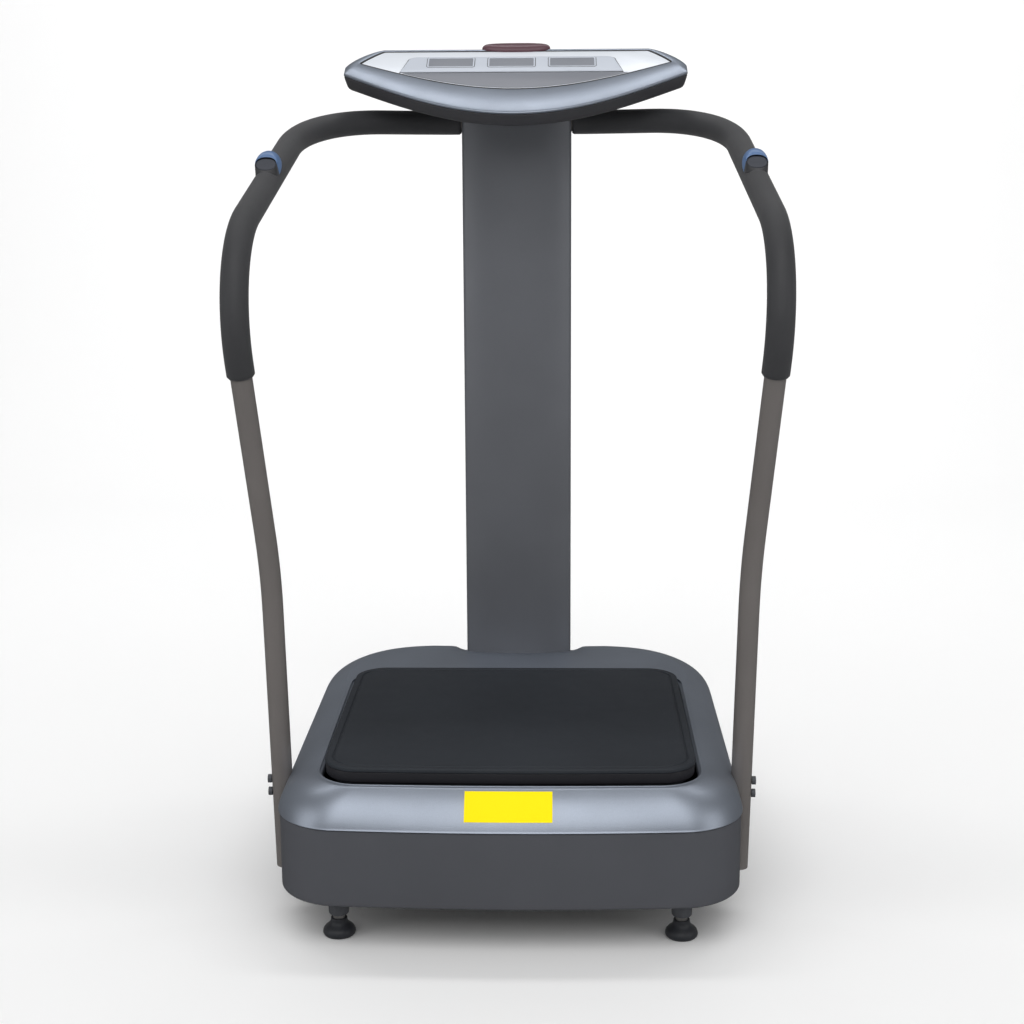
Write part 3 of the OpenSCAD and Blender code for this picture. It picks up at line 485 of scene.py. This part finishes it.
TILT = math.radians(27)
PLATE_T = 2.5
FACE_BACK = 12              # from the console's back edge to the faceplate, up the face
PLATE_HIGH = box("console_faceplate")[1]
FACE_Y = PLATE_HIGH[1] - PLATE_T * math.sin(TILT) + FACE_BACK * math.cos(TILT)
FACE_Z = PLATE_HIGH[2] + FACE_BACK * math.sin(TILT)
RIM_FALL, RIM_CROWN = 5.0, 1.1  # how far the rim drops to its edge, and how much it bulges
DEPTH = 46                  # of the lower shell, square to the face
UNDER_ROLL = 31.5           # where the lower shell's flat underside turns up into its wall


def on_face(points):
    """From face coordinates (across, up the face, out of it) to the object's frame."""
    u, v, w = np.asarray(points, float).T
    return np.column_stack([u, FACE_Y + v * math.cos(TILT) - w * math.sin(TILT),
                            FACE_Z + v * math.sin(TILT) + w * math.cos(TILT)])


def face_skin(skin):
    """A skin drawn in face coordinates, moved to the object's frame."""
    return on_face(skin[0]), skin[1]


def console_plan(half, back, corner_w, corner_h, power, side, front, inset=0.0):
    """Outline in the face: straight back, shaped corners, and a front that bows to the user."""
    h, b = half - inset, back + inset
    t = np.radians(np.linspace(0, 90, 25))
    c, s = np.cos(t).clip(0), np.sin(t)
    corner = np.column_stack([h - corner_w + corner_w * c ** (2 / power),
                              corner_h * s ** (2 / power) - b - corner_h])
    left = corner[::-1] * [-1, 1]
    u = np.linspace(-h, h, 121)
    bow = np.column_stack([u, -(side + (front - inset - side) * np.cos(np.pi / 2 * u / h))])
    return np.concatenate([
        corner, between(corner[-1], left[0], 40), left, between(left[-1], bow[0], 6), bow,
        between(bow[-1], corner[0], 6)])


def rim_plan(inset=0.0):
    return console_plan(half=257, back=0, corner_w=57, corner_h=60, power=1.5, side=80, front=213,
                        inset=inset)


def face_plan(inset=0.0):
    return console_plan(half=233, back=FACE_BACK, corner_w=32, corner_h=40, power=1.12, side=55,
                        front=145, inset=inset)


def belly_plan():
    return console_plan(half=140, back=2, corner_w=20, corner_h=20, power=2, side=50, front=115)


def rim_skin():
    """The silver rim: a soft convex band from the faceplate out to the console's edge."""
    inner, outer = face_plan(-1.0), rim_plan()
    rings = [lift(rim_plan(3), -8.2), lift(rim_plan(0.9), -8.2), lift(rim_plan(0.25), -7.6),
             lift(rim_plan(0), -6.6), lift(rim_plan(0.25), -5.6)]
    for t in np.linspace(0.985, 0.0, 22):
        z = -RIM_FALL * t ** 2.4 + RIM_CROWN * math.sin(math.pi * t) ** 0.8
        rings.append(lift(inner * (1 - t) + outer * t, z))
    rings += [lift(face_plan(-0.9), -0.5), lift(face_plan(-0.8), -3.0)]
    return face_skin(loft(rings))


def lower_skin():
    """The dark lower shell, rolled under from the rim to the flat where the column meets it."""
    rings = [lift(belly_plan(), -DEPTH)]
    rim, belly = rim_plan(14), belly_plan()
    for t in np.linspace(0, 1, 9)[1:-1]:
        rings.append(lift(belly * (1 - t) + rim * t, -DEPTH + (DEPTH - UNDER_ROLL) * t ** 1.3))
    rings += [lift(rim_plan(inset), z) for inset, z in (
        (14, -UNDER_ROLL), (9.5, -30.2), (6.5, -28.0), (4.5, -24.5), (2.8, -19), (1.6, -14), (0.9, -11),
        (0.7, -9.4), (1.2, -8.8), (4.0, -8.8))]
    return face_skin(loft(rings, cap_start=True))


def plate_skin():
    """The white faceplate with a softened edge."""
    rings = [lift(face_plan(inset), z) for inset, z in (
        (0.5, -PLATE_T), (0.3, -0.9), (0.5, -0.45), (1.1, -0.2))]
    return face_skin(loft(rings, cap_start=True, cap_end=True))


FRAME_U = -6                # middle of the display frame, across the face
FRAME_V = (35, 87)          # its upper and lower edge, down the face
FRAME_HALF = (156, 166)     # its half width at the upper and at the lower edge
FRAME_R = 12
WINDOW = (66, 29)
WINDOW_V = 56.5
WINDOW_PITCH = 91
KEYPAD_GAP = 2.5
KEYPAD_MIDDLE = (0, -110)
LENS_HALF = (52, 13, 7.5)   # half width, half depth and height of the lens
LENS_DOWN = (2, 1)          # how far it sits below the edge, down the face and into it
LENS_POWER = 0.75           # fullness of its corners
LENS_SWEEP = (-25, 88)      # degrees of the dome's curve that are drawn


def frame_plan(inset):
    """The display frame's outline: wide at the bottom, with rounded upper corners."""
    half_top, half_low = FRAME_HALF[0] - inset, FRAME_HALF[1] - inset
    top, low = -FRAME_V[0] - inset, -FRAME_V[1] + inset
    right = arc(FRAME_U + half_top - FRAME_R, top - FRAME_R, FRAME_R, 0, 90, 12)
    left = arc(FRAME_U - half_top + FRAME_R, top - FRAME_R, FRAME_R, 90, 180, 12)
    corner_r = (FRAME_U + half_low, low)
    corner_l = (FRAME_U - half_low, low)
    return np.concatenate([[corner_r], between(corner_r, right[0], 6), right,
                           between(right[-1], left[0], 60), left, between(left[-1], corner_l, 6),
                           [corner_l], between(corner_l, corner_r, 60)])


def window_plan(grow, r, centre):
    """A display window's rounded outline, grown on all sides."""
    w, h = WINDOW[0] / 2 + grow - r, WINDOW[1] / 2 + grow - r
    return np.concatenate([arc(centre[0] + x * w, centre[1] + y * h, r, start, start + 90, 6)
                           for x, y, start in ((1, 1, 0), (-1, 1, 90), (-1, -1, 180), (1, -1, 270))])


def window_centres():
    """The middles of the three display windows, in the face."""
    return [(FRAME_U + i * WINDOW_PITCH, -WINDOW_V) for i in (-1, 0, 1)]


def frame_skin():
    """The raised display frame, softened along its edges."""
    rings = [lift(frame_plan(inset), z) for inset, z in (
        (0, -1.0), (0, 0.6), (0.5, 1.5), (1.4, 2.0), (2.4, 2.1))]
    return face_skin(loft(rings, cap_start=True, cap_end=True))


def bezel_skin(centre):
    """The bright sloping edge round one display window."""
    rings = [lift(window_plan(grow, 1.6 + grow, centre), z) for grow, z in (
        (2.6, 2.0), (2.4, 2.7), (1.8, 2.9), (0.6, 2.8), (0.1, 2.4), (0.0, 2.12))]
    return face_skin(loft(rings, cap_end=True))


def window_skin(centre):
    """One clear display window, low inside its bezel."""
    rings = [lift(window_plan(grow, 1.5, centre), z) for grow, z in (
        (0.0, 2.13), (-0.1, 2.35), (-0.6, 2.4))]
    return face_skin(loft(rings, cap_start=True, cap_end=True))


def keypad_skin():
    """The grey film below the display, a little inside the faceplate's edge."""
    top = -FRAME_V[1] - KEYPAD_GAP
    curve = face_plan(4.0)
    curve = curve[curve[:, 1] < top]
    curve = curve[np.argsort(curve[:, 0])]
    outline = np.concatenate([curve, between((curve[-1][0], top), (curve[0][0], top), 60)])
    rings = [lift(outline + (KEYPAD_MIDDLE - outline) * shrink, z) for shrink, z in (
        (0.0, -0.1), (0.0, 0.15), (0.003, 0.35), (0.008, 0.4))]
    return face_skin(loft(rings, cap_start=True, cap_end=True))


def band(inner, outer, low, high):
    """A thin raised band between two outlines."""
    return face_skin(loft([lift(outer, low), lift(outer, high), lift(inner, high), lift(inner, low)]))


def joint_shade_skin():
    """Dark bands in the joints round the faceplate, round the display frame and round each window: the
    joints themselves, with the shade that falls in those gaps painted into them.
    """
    bands = [band(face_plan(1.7), face_plan(-1.2), -0.8, 0.25),
             band(frame_plan(0.2), frame_plan(-1.0), -0.2, 0.35)]
    for centre in window_centres():
        bands.append(band(window_plan(2.2, 3.8, centre), window_plan(3.3, 4.9, centre), 1.8, 2.3))
    return join(*bands)


def lens_skin():
    """The infra-red window: a long low dome over the back edge."""
    half_u, half_v, half_w = LENS_HALF
    t = np.linspace(0, 2 * np.pi, 96, endpoint=False)
    c, s = np.cos(t), np.sin(t)
    rings = []
    for a in np.radians(np.linspace(*LENS_SWEEP, 20)):
        shrink = math.cos(a) ** 0.8 if a > 0 else 1.0
        u = np.sign(c) * np.abs(c) ** LENS_POWER * (half_u - half_v * (1 - shrink))
        v = np.sign(s) * np.abs(s) ** LENS_POWER * half_v * shrink
        w = np.full_like(u, half_w * math.sin(a))
        rings.append(np.column_stack([u, v - LENS_DOWN[0], w - LENS_DOWN[1]]))
    return face_skin(loft(rings, cap_start=True, cap_end=True))


add_piece("console_rim", rim_skin(), "base", "console_silver", ["console_upper_shell"], sharp=60)
add_piece("console_under_shell", lower_skin(), "base", "console_grey", ["console_lower_shell"], sharp=60)
add_piece("console_panel", plate_skin(), "base", "panel_white", ["console_faceplate"], sharp=60)
add_piece("display_surround", join(frame_skin(), *[bezel_skin(c) for c in window_centres()]),
          "base", "display_frame", ["display_frame"], sharp=60)
add_piece("display_lenses", join(*[window_skin(c) for c in window_centres()]),
          "base", "display_window", ["display_windows"])
add_piece("keypad", keypad_skin(), "base", "keypad_grey", ["keypad_film"])
# Dark bands painted as the shade in the panel's joints, as well as the joints themselves.
add_piece("panel_joints_and_shade", joint_shade_skin(), "base", "display_black", sharp=60)
add_piece("receiver_window", lens_skin(), "base", "lens_red", ["infrared_lens"], sharp=60)


# ---------- column ----------

COLUMN_HALF = COLUMN_HIGH[0]
COLUMN_FRONT = COLUMN_LOW[1]
COLUMN_BACK = box("column_back")[1][1]
COLUMN_SPLIT = COLUMN_HIGH[1]
BULGE_R = 180
COLUMN_EDGE = 9
COLUMN_BACK_R = 5
GROOVE_W, GROOVE_DEPTH = 0.5, 0.8


def column_outline():
    """The D-shaped section: bulging front, rounded edges, flat back."""
    sag_y = COLUMN_FRONT + BULGE_R
    a = math.degrees(math.asin((COLUMN_HALF - COLUMN_EDGE) / (BULGE_R - COLUMN_EDGE)))
    front = arc(0, sag_y, BULGE_R, -90 - a, -90 + a, 48)
    corner_y = sag_y - (BULGE_R - COLUMN_EDGE) * math.cos(math.radians(a))
    right = arc(COLUMN_HALF - COLUMN_EDGE, corner_y, COLUMN_EDGE, -90 + a, 0, 12)
    left = right[::-1] * [-1, 1]
    back_right = arc(COLUMN_HALF - COLUMN_BACK_R, COLUMN_BACK - COLUMN_BACK_R, COLUMN_BACK_R, 0, 90, 8)
    back_left = back_right[::-1] * [-1, 1]
    side = between(right[-1], back_right[0], 10)
    return np.concatenate([
        left[:-1], front, right[1:], side, back_right, between(back_right[-1], back_left[0], 24),
        back_left, side[::-1] * [-1, 1]])


def column_skin():
    """The column's two shells as one section with a fine groove at the seam between them."""
    outline = column_outline()
    near_seam = np.exp(-((outline[:, 1] - COLUMN_SPLIT) / GROOVE_W) ** 2)
    on_side = np.abs(outline[:, 0]) > COLUMN_HALF - 2 * COLUMN_EDGE
    outline[:, 0] -= np.sign(outline[:, 0]) * near_seam * on_side * GROOVE_DEPTH
    low = COLUMN_LOW[2]
    top = FACE_Z + (outline[:, 1] - FACE_Y) * math.tan(TILT) - (DEPTH + 0.2) / math.cos(TILT)
    rings = [lift(outline, low + (top - low) * t) for t in np.linspace(0, 1, 40)]
    return loft(rings, cap_start=True, cap_end=True)


add_piece("column_shell", column_skin(), "base", "column_grey", ["column_front", "column_back"], sharp=50)


# ---------- handrail grips ----------

RAIL_R = 14.0
GRIP_R = 18.0
GRIP_BORE = 0.3             # between the tube and the foam at its ends
GRIP_END_R = 4
GRIP_LOW_Z = box("grip_right")[0][2] + 2
GRIP_BENDS = (150, 210, 60)
# Corners of the right handrail's centre line, from its bend above the base to the column.
RAIL_POINTS = np.array([(317, -214, 474), (344, -321, 895), (314, 196, 1065), (112, 300, 1064),
                        (COLUMN_HALF + 1.2, 300, 1064)], float)
HOLLOW_DEPTH = 3.5
HOLLOW_RUN = -20.5          # middle of the foam's hollow below the button, along the rail from the pod
HOLLOW_LENGTH = (3, 7)      # where it starts and ends to fade, along the rail and in degrees round it
HOLLOW_ANGLE = (25, 50)


def unit(vector):
    """The vector's direction, with a length of 1."""
    return vector / np.linalg.norm(vector)


def straight(a, b, step):
    """Points strictly between a and b, about a step apart."""
    return list(between(a, b, round(np.linalg.norm(b - a) / step)))


def bent_path(points, bends, step=3.0):
    """The centre line through corner points with rounded corners, sampled evenly."""
    path = [points[0]]
    for before, corner, after, radius in zip(points, points[1:], points[2:], bends):
        a, b = unit(corner - before), unit(after - corner)
        turn = math.acos(a @ b)
        inward = np.cross(unit(np.cross(a, b)), a)
        start = corner - a * radius * math.tan(turn / 2)
        path += straight(path[-1], start, step)
        for t in np.linspace(0, turn, round(radius * turn / step)):
            path.append(start + inward * radius * (1 - math.cos(t)) + a * radius * math.sin(t))
    path += straight(path[-1], points[-1], step)
    return np.array(path + [points[-1]])


def tube_skin(path, radii, steps=56):
    """A tube along a path, with one radius for each point of it."""
    tangents = np.gradient(path, axis=0)
    side = np.array([1.0, 0, 0])
    rings = []
    for point, tangent, radius in zip(path, tangents, radii):
        along = unit(tangent)
        side = unit(side - along * (side @ along))
        a = np.linspace(0, 2 * np.pi, steps, endpoint=False)[:, None]
        rings.append(point + radius * (np.cos(a) * side + np.sin(a) * np.cross(along, side)))
    return loft(rings, cap_start=True, cap_end=True)


def grip_path():
    """The foam's centre line, from its lower end on the rising tube to the column."""
    fall = unit(RAIL_POINTS[0] - RAIL_POINTS[1])
    first = RAIL_POINTS[1] + fall * (GRIP_LOW_Z - RAIL_POINTS[1][2]) / fall[2]
    return bent_path(np.vstack([[first], RAIL_POINTS[1:]]), GRIP_BENDS)


def grip_radii(path):
    """The foam's radius along its path, rounded off at both ends."""
    run = np.concatenate([[0], np.cumsum(np.linalg.norm(np.diff(path, axis=0), axis=1))])
    from_end = np.minimum(run, run[-1] - run)
    fall = 1 - np.minimum(1, (from_end + 0.4) / GRIP_END_R)
    bore = RAIL_R + GRIP_BORE
    return bore + (GRIP_R - bore) * np.sqrt(1 - fall ** 2)


def grip_skin():
    """The foam sleeve, round at both ends and a little hollow under the button."""
    path = grip_path()
    points, faces = tube_skin(path, grip_radii(path))
    offset = points - POD_POINT
    run = offset @ POD_ALONG
    radial = offset - run[:, None] * POD_ALONG
    distance = np.linalg.norm(radial, axis=1)
    angle = np.degrees(np.arccos(np.clip(radial @ POD_OUT / distance, -1, 1)))
    hollow = (1 - smooth(*HOLLOW_LENGTH, np.abs(run - HOLLOW_RUN))) * (1 - smooth(*HOLLOW_ANGLE, angle))
    hollow *= distance < GRIP_R + 1
    return points - radial * (hollow * HOLLOW_DEPTH / distance)[:, None], faces


# ---------- the thumb pods on the grips ----------

POD_ALONG = unit(RAIL_POINTS[2] - RAIL_POINTS[1])
POD_OUT = unit(np.array([0, 0, 1]) - POD_ALONG * POD_ALONG[2])
POD_ACROSS = np.cross(POD_ALONG, POD_OUT)
POD_REACH = 288             # from the rail's second corner, along the rail
POD_POINT = RAIL_POINTS[1] + POD_ALONG * POD_REACH
POD_LIFT, POD_BACK = 15, 8  # the button's plane, out from the rail and back down along it
FACE_TURN = math.radians(40)
FACE_OUT = POD_OUT * math.cos(FACE_TURN) - POD_ALONG * math.sin(FACE_TURN)
FACE_UP = POD_OUT * math.sin(FACE_TURN) + POD_ALONG * math.cos(FACE_TURN)
POD_CORE = POD_POINT + POD_OUT * POD_LIFT - POD_ALONG * POD_BACK
POCKET = (14.4, 9.7)        # half width and half height of the pocket and of the button in it
BUTTON = (13.8, 9.1)
POCKET_RIM = 12.6           # height of the pocket's rim over the pod's core, at the button's lower side
HOOD_RISE = 2.0             # how much higher the rim is under the hood
EDGE_TURN = math.radians(62)    # how far round the foam the pod's edge reaches
EDGE_START, HOOD_REACH, LIP_REACH = -14, 48, 15     # and how far along it, up and down from its middle
EDGE_SINK = 0.15            # depth of that edge in the foam
EDGE_PULL = (14, 12)        # the hood's curve leaves the foam outwards and down the rail
RIM_PULL = (9, 13, 0.6)     # and comes to the pocket from outside, from up the rail and from above
HOOD_SPAN = (4, 176)        # degrees round the pod that are hood; the rest is lip


def oval(half, height, phi, power=2.3):
    """Points of an oval in the button's plane, at a height above the middle of the pod's top."""
    c, s = np.cos(phi), np.sin(phi)
    x = np.sign(c) * np.abs(c) ** (2 / power) * half[0]
    y = np.sign(s) * np.abs(s) ** (2 / power) * half[1]
    return (POD_CORE + np.outer(x, POD_ACROSS) + np.outer(y, FACE_UP)
            + np.outer(np.broadcast_to(height, x.shape), FACE_OUT))


def pod_rows(phi):
    """Rows from the pod's edge on the foam up to the rim of its pocket."""
    rise = np.clip(np.sin(phi), 0, None)
    turn = EDGE_TURN * np.cos(phi)
    run = EDGE_START + np.where(np.sin(phi) > 0, HOOD_REACH, LIP_REACH) * np.sin(phi)
    radial = np.outer(np.cos(turn), POD_OUT) + np.outer(np.sin(turn), POD_ACROSS)
    edge = POD_POINT + np.outer(run, POD_ALONG) + radial * (GRIP_R - EDGE_SINK)
    rim = oval((POCKET[0] + 0.5, POCKET[1] + 0.5), 13.3 + 2.2 * rise, phi)
    low_pull = edge + radial * (EDGE_PULL[0] * rise)[:, None] - np.outer(EDGE_PULL[1] * rise, POD_ALONG)
    high_pull = (rim + np.outer(RIM_PULL[0] * rise, POD_OUT) + np.outer(RIM_PULL[1] * rise, POD_ALONG)
                 + FACE_OUT * RIM_PULL[2])
    rows = []
    for t in np.linspace(0, 1, 15):
        rows.append(edge * (1 - t) ** 3 + low_pull * 3 * t * (1 - t) ** 2
                    + high_pull * 3 * t * t * (1 - t) + rim * t ** 3)
    rows.append(oval((POCKET[0] + 0.1, POCKET[1] + 0.1), 13.2 + 2.2 * rise, phi))
    rows.append(oval(POCKET, POCKET_RIM + HOOD_RISE * rise, phi))
    return rows


def hood_skin():
    """The blue hood over the button's upper half."""
    return sheet(pod_rows(np.radians(np.linspace(*HOOD_SPAN, 65))))


def lip_skin():
    """The foam-coloured lip that frames the button's lower half."""
    return sheet(pod_rows(np.radians(np.linspace(HOOD_SPAN[1], HOOD_SPAN[0] + 360, 57))))


def pocket_skin():
    """The wall and floor of the pocket that the button sits in."""
    phi = np.linspace(0, 2 * np.pi, 96, endpoint=False)
    rise = np.clip(np.sin(phi), 0, None)
    return loft([oval(POCKET, height, phi) for height in (POCKET_RIM + HOOD_RISE * rise, 10.5, 8.2)],
                cap_end=True)


def button_skin():
    """The button: rounded along its edge and slightly dished."""
    phi = np.linspace(0, 2 * np.pi, 96, endpoint=False)
    rings = [oval((BUTTON[0] - inset, BUTTON[1] - inset), height, phi) for inset, height in (
        (0.2, 10.0), (0.0, 10.4), (0.0, 12.0), (0.3, 12.6), (0.9, 12.95), (1.8, 13.05), (3.2, 12.95),
        (5.2, 12.75), (7.4, 12.65))]
    return loft(rings, cap_start=True, cap_end=True)


for hand, on_hand in (("right", lambda skin: skin), ("left", mirrored)):
    add_piece(f"foam_{hand}", on_hand(grip_skin()), "base", "grip_foam", [f"grip_{hand}"], sharp=70)
    add_piece(f"pod_hood_{hand}", on_hand(hood_skin()), "base", "pod_blue", [f"pod_{hand}"], sharp=60)
    add_piece(f"pod_lip_{hand}", on_hand(lip_skin()), "base", "grip_foam", sharp=60)
    add_piece(f"pod_pocket_{hand}", on_hand(pocket_skin()), "base", "switch_black", sharp=60)
    add_piece(f"thumb_button_{hand}", on_hand(button_skin()), f"{hand}_button", "button_grey",
              [f"button_{hand}"], sharp=60)


# ---------- rubber feet ----------

def middle(node):
    """The middle of a CAD node's box."""
    return sum(box(node)) / 2


def foot_skin(node):
    """A foot: broad rounded sole and a narrow waist below the stud's collar."""
    profile = [(17.6, 0), (19.6, 0.5), (21.0, 2), (21.7, 4), (21.6, 6), (20.6, 9), (18.4, 11.8),
               (15.2, 14.2), (12.8, 16.6), (11.5, 19.2), (11.0, 21.5), (10.9, 23.6), (10.4, 24)]
    return revolve(profile, middle(node))


def collar_skin(node):
    """The frame's collar round a foot's stud."""
    profile = [(5.3, 31), (5.6, 29.9), (10.6, 29.6), (12.3, 30.0), (13.2, 31.2), (13.6, 33), (13.8, 44)]
    return revolve(profile, middle(node))


for corner in ("front_left", "front_right", "rear_left", "rear_right"):
    add_piece(f"rubber_{corner}", foot_skin(f"foot_pad_{corner}"), f"foot_{corner}", "foot_rubber",
              [f"foot_pad_{corner}"], sharp=50)
    add_piece(f"collar_{corner}", collar_skin(f"foot_pad_{corner}"), "base", "powder_coat", sharp=50)


# ---------- stage, light and camera, in metres ----------

FLOOR_HALF_W, FLOOR_FRONT, FLOOR_BEND = 9.0, -4.5, 2.6
SWEEP_R, BACKDROP_H = 1.6, 5.0
FLOOR_TONE = 0.93
AMBIENT = 0.42              # the world's strength as light, as seen in reflections and by the camera
REFLECTED = 0.11
SEEN = 1.0
CAMERA_PLACE = (0.0619, -2.4082, 1.007)
CAMERA_DOWN, CAMERA_AZIMUTH, CAMERA_ROLL = 11.63, 1.53, -0.3
CAMERA_LENS = 60.08


def plain(name, tone):
    """A matt material of one grey."""
    material = bpy.data.materials.new(name)
    material.use_nodes = True
    shader = material.node_tree.nodes["Principled BSDF"]
    shader.inputs["Base Color"].default_value = (tone, tone, tone, 1)
    shader.inputs["Roughness"].default_value = 0.9
    return material


def make_stage():
    """A pale floor that sweeps up into a backdrop."""
    profile = [(FLOOR_FRONT, 0.0), (FLOOR_BEND, 0.0)]
    profile += [(FLOOR_BEND + SWEEP_R * math.sin(a), SWEEP_R * (1 - math.cos(a)))
                for a in np.radians(np.linspace(0, 90, 25)[1:])]
    profile.append((FLOOR_BEND + SWEEP_R, BACKDROP_H))
    vertices = [(side * FLOOR_HALF_W, y, z) for y, z in profile for side in (-1, 1)]
    faces = [(2 * i, 2 * i + 1, 2 * i + 3, 2 * i + 2) for i in range(len(profile) - 1)]
    mesh = bpy.data.meshes.new("floor")
    mesh.from_pydata(vertices, [], faces)
    for face in mesh.polygons:
        face.use_smooth = True
    mesh.materials.append(plain("pale_floor", FLOOR_TONE))
    floor = bpy.data.objects.new("floor", mesh)
    bpy.context.scene.collection.objects.link(floor)
    floor.visible_glossy = False


def area_light(name, place, aim, size, power):
    """A white rectangular light that faces a point."""
    data = bpy.data.lights.new(name, "AREA")
    data.shape = "RECTANGLE"
    data.size, data.size_y = size
    data.energy = power
    light = bpy.data.objects.new(name, data)
    light.location = place
    light.rotation_euler = (Vector(aim) - Vector(place)).to_track_quat("-Z", "Y").to_euler()
    bpy.context.scene.collection.objects.link(light)


def make_world():
    """White where the camera sees it, dim in reflections, and a soft grey as light."""
    world = bpy.data.worlds.new("studio")
    world.use_nodes = True
    tree = world.node_tree
    background = tree.nodes["Background"]
    path = tree.nodes.new("ShaderNodeLightPath")
    light = tree.nodes.new("ShaderNodeMix")
    light.inputs["A"].default_value = AMBIENT
    light.inputs["B"].default_value = REFLECTED
    tree.links.new(path.outputs["Is Glossy Ray"], light.inputs["Factor"])
    seen = tree.nodes.new("ShaderNodeMix")
    seen.inputs["B"].default_value = SEEN
    tree.links.new(light.outputs["Result"], seen.inputs["A"])
    tree.links.new(path.outputs["Is Camera Ray"], seen.inputs["Factor"])
    tree.links.new(seen.outputs["Result"], background.inputs["Strength"])
    background.inputs["Color"].default_value = (1, 1, 1, 1)
    bpy.context.scene.world = world


def make_camera():
    """At the user's side of the machine, at chest height, a little to the right."""
    data = bpy.data.cameras.new("camera")
    data.lens = CAMERA_LENS
    data.sensor_width = 36
    camera = bpy.data.objects.new("camera", data)
    camera.location = CAMERA_PLACE
    aim = Euler((math.radians(90 - CAMERA_DOWN), 0, math.radians(CAMERA_AZIMUTH))).to_matrix()
    camera.rotation_euler = (aim @ Matrix.Rotation(math.radians(CAMERA_ROLL), 3, "Z")).to_euler()
    bpy.context.scene.collection.objects.link(camera)
    bpy.context.scene.camera = camera


make_stage()
make_world()
make_camera()
area_light("front_softbox", (0.0, -2.5, 3.0), (0, -0.2, 0.3), (3.6, 3.2), 62)
area_light("left_fill", (-3.0, -1.6, 1.4), (0, 0, 0.6), (1.6, 2.2), 14)
area_light("right_fill", (3.0, -1.6, 1.4), (0, 0, 0.6), (1.6, 2.2), 14)
area_light("backdrop_wash", (0, 1.2, 4.2), (0, 4.0, 1.5), (6, 1), 120)
bpy.context.scene.view_settings.view_transform = "Standard"
